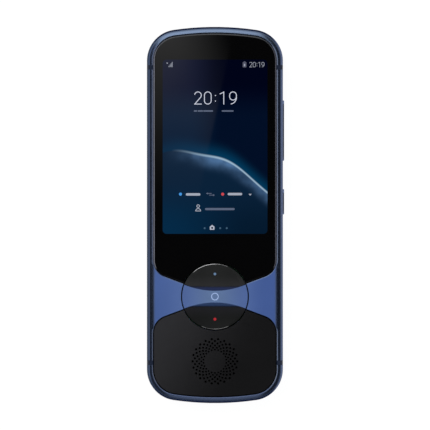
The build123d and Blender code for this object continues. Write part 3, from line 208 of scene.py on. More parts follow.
class NodeSheet:
    """The node tree of one material or world, with the calls that fill it."""

    def __init__(self, owner: "bpy.types.Material | bpy.types.World") -> None:
        """Empties the owner's tree, so that only the maker's nodes are in it.

        Args:
            owner: What the sheet belongs to.
        """
        owner.use_nodes = True
        self.tree = owner.node_tree
        self.tree.nodes.clear()

    def add(
        self,
        kind: str,
        settings: Mapping[str, Any] | None = None,
        inputs: Mapping[int | str, Any] | None = None,
        output: int | str = 0,
    ) -> Signal:
        """Adds a node.

        Args:
            kind: The node's type.
            settings: What is set on the node first.
            inputs: What its sockets are fed, by number or name.
            output: The socket that is wanted, by number or name.

        Returns:
            That output's signal.
        """
        node = self.tree.nodes.new(kind)
        for name, value in (settings or {}).items():
            setattr(node, name, value)
        for name, value in (inputs or {}).items():
            self.feed(node.inputs[name], value)
        return Signal(self, node.outputs[output])

    def feed(self, socket: bpy.types.NodeSocket, value: Any) -> None:
        """Links a signal to a socket, or sets the socket's own value.

        Args:
            socket: The socket.
            value: A signal, a value, or a screen colour for a socket that takes a colour.
        """
        if isinstance(value, Signal):
            self.tree.links.new(value.socket, socket)
        elif socket.type == "RGBA" and len(value) == 3:
            socket.default_value = linear(value)
        else:
            socket.default_value = value

    def finish(self, shader: Signal, kind: str = "ShaderNodeOutputMaterial") -> None:
        """Joins a shader to the sheet's output."""
        node = self.tree.nodes.new(kind)
        self.tree.links.new(shader.socket, node.inputs["Surface"])

    def split(self, whole: Signal) -> list[Signal]:
        """Returns the X, Y and Z of a vector."""
        return [self.add("ShaderNodeSeparateXYZ", None, {0: whole}, n) for n in range(3)]

    def place(self) -> tuple[Signal, Signal, Signal, Signal]:
        """Adds the object coordinates.

        Returns:
            The place as a vector in metres, then its X, Y and Z in millimetres.
        """
        whole = self.add("ShaderNodeTexCoord", output="Object")
        x, y, z = (axis * MM_PER_METRE for axis in self.split(whole))
        return whole, x, y, z

    def facing(self) -> list[Signal]:
        """Returns the X, Y and Z of the surface's own normal."""
        return self.split(self.add("ShaderNodeTexCoord", output="Normal"))

    def stretched(self, where: Signal, working: Working) -> Signal:
        """Returns a place that is scaled for the marks of a metal's working."""
        return self.add("ShaderNodeMapping", None, {"Vector": where, "Scale": working.value})

    def mix(self, share: Signal | float, first: Any, second: Any, blend: str = "MIX") -> Signal:
        """Blends one colour into another.

        Args:
            share: How much of the second colour there is.
            first: A colour or a signal.
            second: A colour or a signal.
            blend: How the second colour goes over the first.

        Returns:
            The blended colour.
        """
        settings = {"data_type": "RGBA", "blend_type": blend}
        inputs = {0: share, MIX_FIRST: first, MIX_SECOND: second}
        return self.add("ShaderNodeMix", settings, inputs, MIX_RESULT)

    def mottled(self, share: float, base: Signal, cloud: Signal) -> Signal:
        """Returns a colour that a noise makes a little lighter and darker."""
        return self.mix(share, base, self.mix(cloud, UNLIT, WHITE), "OVERLAY")

    def noise(self, where: Signal, size_mm: float, detail: float = 2.0) -> Signal:
        """Returns a noise from 0 to 1 whose features are about the given size."""
        inputs = {"Vector": where, "Scale": 1 / (size_mm * MM), "Detail": detail}
        return self.add("ShaderNodeTexNoise", None, inputs)

    def bump(self, height: Signal, depth_mm: float, strength: float) -> Signal:
        """Returns the normals of a surface whose relief is of the given depth."""
        inputs = {"Height": height, "Distance": depth_mm * MM, "Strength": strength}
        return self.add("ShaderNodeBump", None, inputs)

    def shine(self, inputs: Mapping[str, Any]) -> Signal:
        """Returns a Principled shader with the given inputs."""
        return self.add("ShaderNodeBsdfPrincipled", None, inputs)

    def seen(self) -> Signal:
        """Adds a test for the rays that show the background.

        Returns:
            1 for direct rays, mirrored rays and rays through glass, and 0 for the others.
        """
        names = ("Is Camera Ray", "Is Glossy Ray", "Is Transmission Ray")
        direct, mirrored, through = (self.add("ShaderNodeLightPath", output=n) for n in names)
        return direct.most(mirrored).most(through)


def towards_bright_wall(x: Signal, y: Signal, reach: Signal) -> Signal:
    """Returns the cosine of the angle between a place and the way to the bright wall."""
    sine, cosine = BRIGHT_WAY
    return (y * cosine - x * sine) / reach


class Finish(Protocol):
    """What a piece can be dressed in."""

    def paint(self, sheet: NodeSheet) -> Signal:
        """Adds the finish's nodes to a sheet and returns its shader."""


@dataclass(frozen=True)
class Grain:
    """A fine noise that covers a surface, and the relief that it gives."""

    size_mm: float
    detail: float
    depth_mm: float
    strength: float = 0.5

    def noise(self, where: Signal) -> Signal:
        """Returns the grain's noise, from 0 to 1."""
        return where.sheet.noise(where, self.size_mm, self.detail)

    def relief(self, height: Signal) -> Signal:
        """Returns the normals of a surface with this relief."""
        return height.sheet.bump(height, self.depth_mm, self.strength)


@dataclass(frozen=True)
class Anodised:
    """Blasted and anodised aluminium, with a satin waist and polished edges.

    The colours carry painted light: the faces that look up are painted lighter than the sides
    and lightest at the top end, the shoulders get painted shade that is darkest at the ends,
    and the flat lips are painted lighter on the right and at the bottom end. The waist is
    blasted matt with a painted sheen lightest in its middle, and the small bevels round the
    openings are machined and polished, with painted shade at the two ends. A span is where
    one look passes into the next: in millimetres, or for a tilt or side in parts of the normal.
    """

    # Colours with painted light and shade: by facing, by side and along the length.
    rail: Colour = (101, 118, 155)
    top_rail_highlight: Colour = (111, 128, 155)
    wall: Colour = (66, 86, 136)
    shoulder_shade: Colour = (14, 24, 54)
    left_shoulder: Colour = (54, 66, 86)
    right_shoulder: Colour = (92, 104, 134)
    waist_left: Colour = (72, 98, 157)
    waist_centre_sheen: Colour = (92, 117, 170)
    waist_right: Colour = (68, 94, 155)
    lip: Colour = (71, 81, 106)
    right_lip: Colour = (94, 107, 132)
    end_lip: Colour = (90, 104, 138)
    end_cut: Colour = (80, 92, 124)
    side_cut: Colour = (190, 198, 216)
    waist_cut: Colour = (172, 194, 236)
    waist_x: Span = (22.8, 23.9)
    waist_off_y: Span = (19.0, 20.0)
    waist_z: Span = (10.5, 11.0)
    waist_tilt: Span = (0.9, 0.98)
    left_x: Span = (-23.0, -4.0)
    right_x: Span = (4.0, 20.0)
    near_off_y: Span = (12.0, 14.0)
    lip_x: Span = (-20.0, 20.0)
    lip_z: Span = (12.975, 12.995)
    lip_top_y: Span = (64.0, 66.0)
    lip_low_y: Span = (-68.0, -66.0)
    cut_tilt: Span = (0.80, 0.90)
    cut_z: Span = (12.80, 12.86)
    end_y: Span = (64.0, 67.0)
    wall_tilt: Span = (0.2, 0.6)
    shoulder_side: Span = (0.52, 0.72)
    shoulder_tilt: Span = (0.68, 0.80)
    shoulder_z: Span = (11.0, 11.6)
    rail_roughness: float = 0.25
    waist_roughness: float = 0.42
    matt_share: float = 0.67
    cut_polish: float = 0.14
    mottle: float = 0.10
    haze: float = 0.06
    cloud_mm: float = 14.0
    grain: Grain = Grain(size_mm=0.12, detail=4.0, depth_mm=0.003, strength=0.4)

    def waist(self, sheet: NodeSheet, x: Signal) -> Signal:
        """Returns the waist's colours from the left to the right, with a painted sheen in the
        middle.
        """
        left = sheet.mix(x.ramp(*self.left_x), self.waist_left, self.waist_centre_sheen)
        return sheet.mix(x.ramp(*self.right_x), left, self.waist_right)

    def shoulders(self, sheet: NodeSheet, side: Signal) -> Signal:
        """Returns the shoulders' painted shade: darkest at the ends and lightest on the right."""
        left = sheet.mix((side * -1).ramp(*self.shoulder_side), self.shoulder_shade, self.left_shoulder)
        return sheet.mix(side.ramp(*self.shoulder_side), left, self.right_shoulder)

    def lips(self, sheet: NodeSheet, x: Signal, y: Signal) -> Signal:
        """Returns the lips' colours beside the openings, painted lighter on the right and at the
        bottom.
        """
        sides = sheet.mix(x.ramp(*self.lip_x), self.lip, self.right_lip)
        return sheet.mix(y.fade(*self.lip_low_y), sides, self.end_lip)

    def cuts(self, sheet: NodeSheet, y: Signal, near: Signal) -> Signal:
        """Returns the colours of the polished bevels, painted darker at the two ends as shade."""
        outer = sheet.mix(abs(y).ramp(*self.end_y), self.side_cut, self.end_cut)
        return sheet.mix(near, outer, self.waist_cut)

    def paint(self, sheet: NodeSheet) -> Signal:
        """Adds the anodised metal's nodes.

        Args:
            sheet: The sheet that they go on.

        Returns:
            The shader.
        """
        where, x, y, z = sheet.place()
        side, _, up = sheet.facing()
        off_y = abs(y - WAIST_Y)
        matt = abs(x).fade(*self.waist_x) * off_y.fade(*self.waist_off_y)
        matt = matt * z.ramp(*self.waist_z) * up.ramp(*self.waist_tilt)
        near = off_y.fade(*self.near_off_y)
        lip = z.ramp(*self.lip_z) * (1 - near) * y.fade(*self.lip_top_y)
        # The polished bevels, whose colours are painted: bright on the sides, dark at the ends.
        polish_and_glint = up.fade(*self.cut_tilt) * z.ramp(*self.cut_z)
        shoulder_shade = up.fade(*self.shoulder_tilt) * z.ramp(*self.shoulder_z)
        cloud = sheet.noise(where, self.cloud_mm)
        # Painted light: lighter at the top end, and lighter on faces that look up than on the
        # sides.
        rail = sheet.mix(y.ramp(*self.end_y), self.rail, self.top_rail_highlight)
        dye_and_painted_light = sheet.mix(up.ramp(*self.wall_tilt), self.wall, rail)
        # Painted shade on the shoulders, and painted light on the lips, both differing by side.
        dye_and_painted_light = sheet.mix(shoulder_shade, dye_and_painted_light, self.shoulders(sheet, side))
        dye_and_painted_light = sheet.mix(lip, dye_and_painted_light, self.lips(sheet, x, y))
        # The waist, with its painted sheen.
        dye_and_painted_light = sheet.mottled(self.mottle, sheet.mix(matt, dye_and_painted_light, self.waist(sheet, x)), cloud)
        soft = matt.most(lip * (1 - polish_and_glint))
        rough = self.rail_roughness + soft * (self.waist_roughness - self.rail_roughness)
        return sheet.shine({
            "Base Color": sheet.mix(polish_and_glint, dye_and_painted_light, self.cuts(sheet, y, near)),
            "Metallic": 1.0 - soft * self.matt_share,
            "Roughness": rough + cloud.sway(self.haze) - polish_and_glint * self.cut_polish,
            "Specular Tint": SLANT_TINT,
            "Normal": self.grain.relief(self.grain.noise(where)),
        })


@dataclass(frozen=True)
class KeyMetal:
    """The round key's blasted disc: a bright band between two darker dished walls.

    The band's edges are arcs that open towards the key's sides. The band has a painted sheen
    that is lightest in its middle, and the walls have painted shade, darker on the upper wall
    than on the lower and darkest at each wall's base, beside the insert.
    """

    band: Colour = (80, 104, 159)
    centre: Colour = (97, 121, 162)
    upper_wall_shade: Colour = (17, 31, 68)
    lower_wall_shade: Colour = (37, 58, 97)
    foot_shade: Colour = (10, 15, 30)
    arc_radius: float = 30.0
    band_edge: Span = (2.12, 2.32)
    face_z: Span = (12.6, 12.9)
    halves_y: Span = (-1.0, 1.0)
    foot_y: Span = (3.2, 4.0)
    centre_x: Span = (0.0, 13.0)
    metallic: float = 0.33
    roughness: float = 0.42
    wall_roughness: float = 0.1
    mottle: float = 0.10
    haze: float = 0.08
    gloss: float = 0.3
    cloud_mm: float = 8.0
    grain: Grain = Grain(size_mm=0.12, detail=4.0, depth_mm=0.004)

    def paint(self, sheet: NodeSheet) -> Signal:
        """Adds the anodised metal's nodes.

        Args:
            sheet: The sheet that they go on.

        Returns:
            The shader.
        """
        where, x, y, z = sheet.place()
        off_y = y - WAIST_Y
        away = abs(off_y)
        # Where the walls' painted shade goes: outside the band's arcs and below its face.
        wall = (away - x * x / (2 * self.arc_radius)).ramp(*self.band_edge)
        wall = wall.most(z.fade(*self.face_z))
        cloud = sheet.noise(where, self.cloud_mm)
        # Painted shade: darker on the upper wall, and darkest at the base beside the insert.
        dark = sheet.mix(off_y.ramp(*self.halves_y), self.lower_wall_shade, self.upper_wall_shade)
        dark = sheet.mix(away.ramp(*self.foot_y), dark, self.foot_shade)
        # A painted sheen, lightest in the middle of the band.
        dye_and_painted_light = sheet.mix(abs(x).fade(*self.centre_x), self.band, self.centre)
        return sheet.shine({
            "Base Color": sheet.mottled(self.mottle, sheet.mix(wall, dye_and_painted_light, dark), cloud),
            "Metallic": self.metallic - wall * self.metallic,
            "Roughness": self.roughness + wall * self.wall_roughness + cloud.sway(self.haze),
            "Specular IOR Level": self.gloss,
            "Normal": self.grain.relief(self.grain.noise(where)),
        })


@dataclass(frozen=True)
class KeyLacquer:
    """Lacquered insert of the round key, with a painted sheen and a painted highlight on its rim.

    The sheen is paler towards the band. The highlight paints the rim as bright metal at the
    key's two ends, and runs out from there.
    """

    colour: Colour
    near: Colour
    gloss: float = 0.2
    rim: Colour = (196, 196, 198)
    rim_reach: Span = (12.40, 12.46)
    rim_z: Span = (12.75, 12.82)
    upper_way: Span = (0.82, 0.93)
    lower_way: Span = (0.90, 0.97)
    near_y: Span = (4.0, 8.5)
    roughness: float = 0.36
    rim_polish: float = 0.22
    mottle: float = 0.10
    haze: float = 0.06
    cloud_mm: float = 6.0
    grain: Grain = Grain(size_mm=0.16, detail=4.0, depth_mm=0.004)

    def polish_and_glint(self, x: Signal, off_y: Signal, z: Signal) -> Signal:
        """Returns 1 where the rim's painted highlight lies, and 0 elsewhere.

        Args:
            x: The place across the key.
            off_y: The place along it, from its middle.
            z: The height.

        Returns:
            The share of the rim's look.
        """
        reach = x.reach(off_y)
        upper = towards_bright_wall(x, off_y, reach).ramp(*self.upper_way)
        lower = (off_y / reach * -1).ramp(*self.lower_way)
        return reach.ramp(*self.rim_reach) * z.ramp(*self.rim_z) * upper.most(lower)

    def paint(self, sheet: NodeSheet) -> Signal:
        """Adds the lacquer's nodes.

        Args:
            sheet: The sheet that they go on.

        Returns:
            The shader.
        """
        where, x, y, z = sheet.place()
        off_y = y - WAIST_Y
        # The rim's painted highlight, towards the bright wall at the top and towards the bottom.
        rim = self.polish_and_glint(x, off_y, z)
        cloud = sheet.noise(where, self.cloud_mm)
        # A painted sheen, paler towards the band.
        base = sheet.mix(abs(off_y).fade(*self.near_y), self.colour, self.near)
        return sheet.shine({
            "Base Color": sheet.mix(rim, sheet.mottled(self.mottle, base, cloud), self.rim),
            "Metallic": rim,
            "Roughness": self.roughness - rim * self.rim_polish + cloud.sway(self.haze),
            "Specular IOR Level": self.gloss,
            "Normal": self.grain.relief(self.grain.noise(where)),
        })


SATIN_GRAIN = Grain(size_mm=0.18, detail=5.0, depth_mm=0.006, strength=0.6)


@dataclass(frozen=True)
class Satin:
    """Moulded or painted polymer with a fine grain and an uneven sheen.

    Where far is given, painted light shades the colour over the span, from the colour on one
    side of the piece to far on the other. The painted light may slant, and gloss is the share
    of a plain polymer's own shine.
    """

    colour: Colour
    far: Colour | None = None
    span: Span = (-22.0, 22.0)
    slant: float = 0.0
    middle_y: float = 0.0
    roughness: float = 0.4
    gloss: float = 0.5
    mottle: float = 0.12
    haze: float = 0.10
    grit: float = 0.06
    cloud_mm: float = 9.0
    grain: Grain = SATIN_GRAIN

    def bare(self, x: Signal, y: Signal, z: Signal) -> Signal | float:
        """Returns 1 where painted shade makes the polymer black, and 0 elsewhere."""
        return 0.0

    def paint(self, sheet: NodeSheet) -> Signal:
        """Adds the polymer's nodes.

        Args:
            sheet: The sheet that they go on.

        Returns:
            The shader.
        """
        where, x, y, z = sheet.place()
        grain = self.grain.noise(where)
        cloud = sheet.noise(where, self.cloud_mm)
        # Painted light over the span, where far is given.
        painted_light = (x - (y - self.middle_y) * self.slant).ramp(*self.span)
        base = sheet.mix(painted_light, self.colour, self.far or self.colour)
        # Painted shade: the polymer turns black where bare gives 1.
        bare = self.bare(x, y, z)
        return sheet.shine({
            "Base Color": sheet.mix(bare, sheet.mottled(self.mottle, base, cloud), PAINTED_SHADE_BLACK),
            "Metallic": bare,
            "Roughness": self.roughness + cloud.sway(self.haze) + grain.sway(self.grit),
            "Specular IOR Level": self.gloss,
            "Normal": self.grain.relief(grain),
        })


@dataclass(frozen=True)
class Pierced(Satin):
    """Satin polymer with rings of small holes, with painted shade round each and below its face.

    Every other ring is turned by half the step of its holes.
    """

    rings: Point = (4.45, 8.6)
    ring_count: int = 6
    hole_count: int = 22
    hole_radii: Point = (0.29, 0.38)
    shade_ring: Span = (0.0, 0.1)
    edge_z: Span = (12.925, 12.945)

    def bare(self, x: Signal, y: Signal, z: Signal) -> Signal | float:
        """Finds the painted shade below the face and just round each hole.

        Args:
            x: The place across the piece.
            y: The place along it.
            z: The height.

        Returns:
            1 there, and 0 elsewhere.
        """
        off_y = y - self.middle_y
        reach = x.reach(off_y)
        last = self.ring_count - 1
        pitch = (self.rings[1] - self.rings[0]) / last
        ring = ((reach - self.rings[0]) / pitch).whole().most(0).least(last)
        turn = x.angle(off_y) * (self.hole_count / FULL_TURN) + ring * 0.5
        along = (turn - turn.whole()) * reach * (FULL_TURN / self.hole_count)
        out = reach - ring * pitch - self.rings[0]
        growth = (self.hole_radii[1] - self.hole_radii[0]) / last
        gap = along.reach(out) - ring * growth - self.hole_radii[0]
        # Painted shade round each hole's opening and below the face.
        return 1 - gap.ramp(*self.shade_ring) * z.ramp(*self.edge_z)


@dataclass(frozen=True)
class Brushed:
    """Dyed aluminium of the back, brushed along its length under a satin seal."""

    colour: Colour = (54, 75, 128)
    light: Colour = (72, 94, 150)
    cloud_mm: float = 30.0
    cloud_share: float = 0.25
    contrast: Span = (0.25, 0.75)
    metallic: float = 0.6
    roughness: float = 0.34
    haze: float = 0.14
    lines: Grain = Grain(size_mm=0.24, detail=3.0, depth_mm=0.004)

    def paint(self, sheet: NodeSheet) -> Signal:
        """Adds the brushed metal's nodes.

        Args:
            sheet: The sheet that they go on.

        Returns:
            The shader.
        """
        where, *_ = sheet.place()
        lines = self.lines.noise(sheet.stretched(where, Working.BRUSHED))
        cloud = sheet.noise(where, self.cloud_mm)
        tone = lines * (1 - self.cloud_share) + cloud * self.cloud_share
        return sheet.shine({
            "Base Color": sheet.mix(tone.ramp(*self.contrast), self.colour, self.light),
            "Metallic": self.metallic,
            "Roughness": self.roughness + lines.sway(self.haze),
            "Specular Tint": SLANT_TINT,
            "Normal": self.lines.relief(lines),
        })


METAL_LINES = Grain(size_mm=0.5, detail=6.0, depth_mm=0.003)


@dataclass(frozen=True)
class Metal:
    """Bare or plated metal, with the marks of its working and a little tarnish."""

    colour: Colour
    roughness: float = 0.3
    working: Working = Working.DRAWN
    lines: Grain = METAL_LINES
    tarnish_mm: float = 3.0
    tarnish_share: float = 0.6
    lines_share: float = 0.4
    contrast: Span = (0.3, 0.7)
    tarnish_level: float = 0.72
    haze: float = 0.16

    def paint(self, sheet: NodeSheet) -> Signal:
        """Adds the metal's nodes.

        Args:
            sheet: The sheet that they go on.

        Returns:
            The shader.
        """
        where, *_ = sheet.place()
        lines = self.lines.noise(sheet.stretched(where, self.working))
        tarnish = sheet.noise(where, self.tarnish_mm)
        tone = (tarnish * self.tarnish_share + lines * self.lines_share).ramp(*self.contrast)
        return sheet.shine({
            "Base Color": sheet.mix(tone, linear(self.colour, self.tarnish_level), self.colour),
            "Metallic": 1.0,
            "Roughness": self.roughness + lines.sway(self.haze),
            "Normal": self.lines.relief(lines),
        })


@dataclass(frozen=True)
class Laminate:
    """Circuit board under solder mask, with copper runs that show through it."""

    mask: Colour = (16, 54, 40)
    copper: Colour = (38, 92, 62)
    run_mm: float = 1.1
    run_randomness: float = 0.4
    run_edge: Span = (0.06, 0.12)
    run_share: float = 0.8
    weave_mm: float = 0.2
    weave_detail: float = 3.0
    weave_height: float = 0.2
    roughness: float = 0.34
    haze: float = 0.12
    depth_mm: float = 0.02
    strength: float = 0.5

    def paint(self, sheet: NodeSheet) -> Signal:
        """Adds the board's nodes.

        Args:
            sheet: The sheet that they go on.

        Returns:
            The shader.
        """
        where, *_ = sheet.place()
        scale = 1 / (self.run_mm * MM)
        inputs = {"Vector": where, "Scale": scale, "Randomness": self.run_randomness}
        cells = sheet.add("ShaderNodeTexVoronoi", {"feature": "DISTANCE_TO_EDGE"}, inputs)
        runs = cells.fade(*self.run_edge)
        weave = sheet.noise(where, self.weave_mm, self.weave_detail)
        height = runs + weave * self.weave_height
        return sheet.shine({
            "Base Color": sheet.mix(runs * self.run_share, self.mask, self.copper),
            "Roughness": self.roughness + weave * self.haze,
            "Normal": sheet.bump(height, self.depth_mm, self.strength),
        })


@dataclass(frozen=True)
class Woven:
    """Cloth, foam or film with a fine over-and-under weave."""

    colour: Colour
    pitch_mm: float = 0.22
    roughness: float = 0.85
    gloss: float = 0.5
    weave_share: float = 0.6
    dirt_share: float = 0.4
    dirt_mm: float = 1.5
    shade_level: float = 0.45
    depth_mm: float = 0.03
    strength: float = 0.7

    def paint(self, sheet: NodeSheet) -> Signal:
        """Adds the weave's nodes.

        Args:
            sheet: The sheet that they go on.

        Returns:
            The shader.
        """
        where, x, y, _ = sheet.place()
        turn = FULL_TURN / self.pitch_mm
        weave = (x * turn).sine() * (y * turn).sine() * 0.5 + 0.5
        tone = weave * self.weave_share + sheet.noise(where, self.dirt_mm) * self.dirt_share
        return sheet.shine({
            "Base Color": sheet.mix(tone, linear(self.colour, self.shade_level), self.colour),
            "Roughness": self.roughness,
            "Specular IOR Level": self.gloss,
            "Normal": sheet.bump(weave, self.depth_mm, self.strength),
        })


@dataclass(frozen=True)
class Pouch:
    """Soft foil of a battery cell, slightly crumpled."""

    colour: Colour = (58, 60, 64)
    worn_level: float = 0.7
    wear_mm: float = 0.6
    wear_detail: float = 3.0
    metallic: float = 0.35
    roughness: float = 0.38
    haze: float = 0.12
    folds: Grain = Grain(size_mm=5.0, detail=6.0, depth_mm=0.25)

    def paint(self, sheet: NodeSheet) -> Signal:
        """Adds the foil's nodes.

        Args:
            sheet: The sheet that they go on.

        Returns:
            The shader.
        """
        where, *_ = sheet.place()
        folds = self.folds.noise(where)
        wear = sheet.noise(where, self.wear_mm, self.wear_detail)
        return sheet.shine({
            "Base Color": sheet.mix(wear, linear(self.colour, self.worn_level), self.colour),
            "Metallic": self.metallic,
            "Roughness": self.roughness + folds * self.haze,
            "Normal": self.folds.relief(folds),
        })


@dataclass(frozen=True)
class NightSky:
    """The display's picture: a night sky over a soft wave of light.

    Places across and up are shares of the window's half width and half height, from its
    middle. Heights above and below are such shares too, from the wave's crest.
    """

    sky_left: Colour = (0, 8, 40)
    sky_right: Colour = (0, 3, 23)
    dusk_left: Colour = (0, 26, 53)
    dusk_right: Colour = (0, 13, 37)
    deep: Colour = (9, 33, 57)
    left_floor: Colour = (3, 42, 71)
    right_floor: Colour = (3, 25, 46)
    glow: Colour = (0, 58, 92)
    crest: Colour = (166, 194, 214)
    haze: Colour = (80, 116, 158)
    ripple_rate: float = 5.5
    ripple_height: float = 0.018
    peak_across: float = -0.6
    wave_fall: float = 0.18
    wave_up: float = -0.055
    dark_across: Span = (-0.5, 0.15)
    night_up: Span = (0.30, 0.75)
    lit_across: Span = (-1.0, 0.2)
    halo_above: Span = (0.0, 0.26)
    halo_level: float = 0.35
    halo_lit_level: float = 0.6
    floor_across: Span = (-1.0, 0.7)
    floor_up: Span = (-1.0, -0.35)
    haze_below: Span = (0.0, 0.24)
    haze_level: float = 0.3
    cloud_mm: float = 9.0
    cloud_detail: float = 5.0
    cloud_contrast: Span = (0.3, 0.7)
    horizon: Span = (-0.008, 0.008)
    crest_half: Span = (0.0, 0.022)
    crest_level: float = 0.92
    crest_loss: float = 0.05

    def wave(self, across: Signal) -> Signal:
        """Finds the wave's crest.

        Args:
            across: The place across the window.

        Returns:
            How high up the window it is.
        """
        fall = across - self.peak_across
        ripple = (across * self.ripple_rate).sine() * self.ripple_height
        return ripple - fall * fall * self.wave_fall + self.wave_up

    def sky(self, sheet: NodeSheet, across: Signal, up: Signal, above: Signal) -> Signal:
        """Colours what is above the wave.

        Args:
            sheet: The sheet that the nodes go on.
            across: The place across the window.
            up: The place up the window.
            above: The height above the wave.

        Returns:
            The sky's colours.
        """
        right = across.ramp(*self.dark_across)
        night = sheet.mix(right, self.sky_left, self.sky_right)
        dusk = sheet.mix(right, self.dusk_left, self.dusk_right)
        halo = above.fade(*self.halo_above)
        level = self.halo_level + across.ramp(*self.lit_across) * self.halo_lit_level
        sky = sheet.mix(up.ramp(*self.night_up), dusk, night)
        return sheet.mix(halo * halo * level, sky, self.glow)

    def land(self, sheet: NodeSheet, across: Signal, up: Signal, haze: Signal) -> Signal:
        """Returns the colours of what is below the wave, with a share of haze over them."""
        floor = sheet.mix(across.ramp(*self.floor_across), self.left_floor, self.right_floor)
        return sheet.mix(haze, sheet.mix(up.ramp(*self.floor_up), floor, self.deep), self.haze)

    def picture(self, sheet: NodeSheet, where: Signal, across: Signal, up: Signal) -> Signal:
        """Colours the whole picture.

        Args:
            sheet: The sheet that the nodes go on.
            where: The object coordinates.
            across: The place across the window.
            up: The place up the window.

        Returns:
            The picture's colours.
        """
        above = up - self.wave(across)
        lit = across.ramp(*self.lit_across)
        cloud = sheet.noise(where, self.cloud_mm, self.cloud_detail)
        body = (above * -1).fade(*self.haze_below)
        haze = body * body * (self.haze_level + cloud.ramp(*self.cloud_contrast)) * lit
        land = self.land(sheet, across, up, haze)
        base = sheet.mix(above.ramp(*self.horizon), land, self.sky(sheet, across, up, above))
        line = abs(above).fade(*self.crest_half)
        share = line * (lit * self.crest_level - self.crest_loss).most(0.0)
        return sheet.mix(share, base, self.crest)


@dataclass(frozen=True)
class LitGlass:
    """Black-backed cover glass with the lit picture of the display behind it.

    The glass's rounded outer edge is rough, with a painted highlight that is palest on the left,
    darker on the right and darkest at the top, and its coat mirrors less towards the window's
    upper right, where the picture stays dark.
    """

    middle: Point = (0.05, 26.28)
    half: Point = (20.16, 33.52)
    corner: float = 1.5
    softness: float = 0.06
    face_z: Span = (12.8, 12.9)
    sky: NightSky = NightSky()
    border: Colour = (5, 5, 6)
    border_level: float = 0.5
    left_edge: Colour = (114, 115, 126)
    right_edge: Colour = (74, 74, 84)
    top_edge: Colour = (52, 55, 60)
    edge_x: Span = (-15.0, 15.0)
    edge_y: Span = (58.0, 69.0)
    edge_tilt: Span = (0.92, 0.99)
    outer_x: Span = (22.4, 22.9)
    outer_y: Span = (60.0, 61.5)
    calm_x: Span = (-22.0, 2.0)
    calm_y: Span = (40.0, 50.0)
    smear_mm: float = 6.0
    smear_detail: float = 4.0
    smear_share: float = 0.3
    roughness: float = 0.012
    haze: float = 0.014
    edge_roughness: float = 0.4
    gloss: float = 0.2
    coat: float = 0.6
    coat_roughness: float = 0.02

    def window(self, x: Signal, y: Signal) -> Signal:
        """Finds the lit window, whose corners are round.

        Args:
            x: The place across the glass.
            y: The place along it.

        Returns:
            1 inside the window and 0 outside it.
        """
        over_x = (abs(x - self.middle[0]) - (self.half[0] - self.corner)).most(0.0)
        over_y = (abs(y - self.middle[1]) - (self.half[1] - self.corner)).most(0.0)
        return over_x.reach(over_y).fade(self.corner - self.softness, self.corner + self.softness)

    def edge_highlight(self, sheet: NodeSheet, x: Signal, y: Signal) -> Signal:
        """Returns the painted highlight of the rounded edge, palest on the left."""
        sides = sheet.mix(x.ramp(*self.edge_x), self.left_edge, self.right_edge)
        return sheet.mix(y.ramp(*self.edge_y), sides, self.top_edge)

    def paint(self, sheet: NodeSheet) -> Signal:
        """Adds the glass's nodes.

        Args:
            sheet: The sheet that they go on.

        Returns:
            The shader.
        """
        where, x, y, z = sheet.place()
        _, _, up = sheet.facing()
        lit = self.window(x, y) * z.ramp(*self.face_z)
        outer = abs(x).ramp(*self.outer_x).most(y.ramp(*self.outer_y))
        # The rounded outer edge, which carries the painted highlight.
        edge = up.fade(*self.edge_tilt) * outer
        smear = sheet.noise(where, self.smear_mm, self.smear_detail)
        dark = linear(self.border, self.border_level)
        black = sheet.mix(lit, sheet.mix(smear * self.smear_share, dark, self.border), UNLIT)
        across = (x - self.middle[0]) / self.half[0]
        along = (y - self.middle[1]) / self.half[1]
        picture = self.sky.picture(sheet, where, across, along)
        calm = x.ramp(*self.calm_x) * y.ramp(*self.calm_y) * lit
        return sheet.shine({
            "Base Color": sheet.mix(edge, black, self.edge_highlight(sheet, x, y)),
            "Roughness": self.roughness + smear * self.haze + edge * self.edge_roughness,
            "Specular IOR Level": self.gloss,
            "Coat Weight": self.coat - calm * self.coat,
            "Coat Roughness": self.coat_roughness,
            "Emission Color": sheet.mix(lit, UNLIT, picture),
            "Emission Strength": 1.0,
        })


@dataclass(frozen=True)
class Lamp:
    """A clear or dyed light guide that glows from behind."""

    colour: Colour
    edge: Colour = (20, 20, 24)
    top_z: Span = (12.0, 12.2)
    level: float = 0.85
    sparkle: float = 0.3
    roughness: float = 0.25
    haze: float = 0.1
    grain_mm: float = 0.3
    grain_detail: float = 3.0

    def paint(self, sheet: NodeSheet) -> Signal:
        """Adds the guide's nodes.

        Args:
            sheet: The sheet that they go on.

        Returns:
            The shader.
        """
        where, _, _, z = sheet.place()
        grain = sheet.noise(where, self.grain_mm, self.grain_detail)
        lit = z.ramp(*self.top_z) * (self.level + grain * self.sparkle)
        return sheet.shine({
            "Base Color": self.edge,
            "Roughness": self.roughness + grain * self.haze,
            "Emission Color": sheet.mix(lit, UNLIT, self.colour),
            "Emission Strength": 1.0,
        })


@dataclass(frozen=True)
class Ink:
    """Lit marks of the display, as bright as they are drawn."""

    colour: Colour
    unlit: Colour = (6, 6, 8)
    low_level: float = 0.94
    roughness: float = 0.05
    grain_mm: float = 0.2

    def paint(self, sheet: NodeSheet) -> Signal:
        """Adds the marks' nodes.

        Args:
            sheet: The sheet that they go on.

        Returns:
            The shader.
        """
        where, *_ = sheet.place()
        grain = sheet.noise(where, self.grain_mm)
        return sheet.shine({
            "Base Color": self.unlit,
            "Roughness": self.roughness,
            "Emission Color": sheet.mix(grain, linear(self.colour, self.low_level), self.colour),
            "Emission Strength": 1.0,
        })


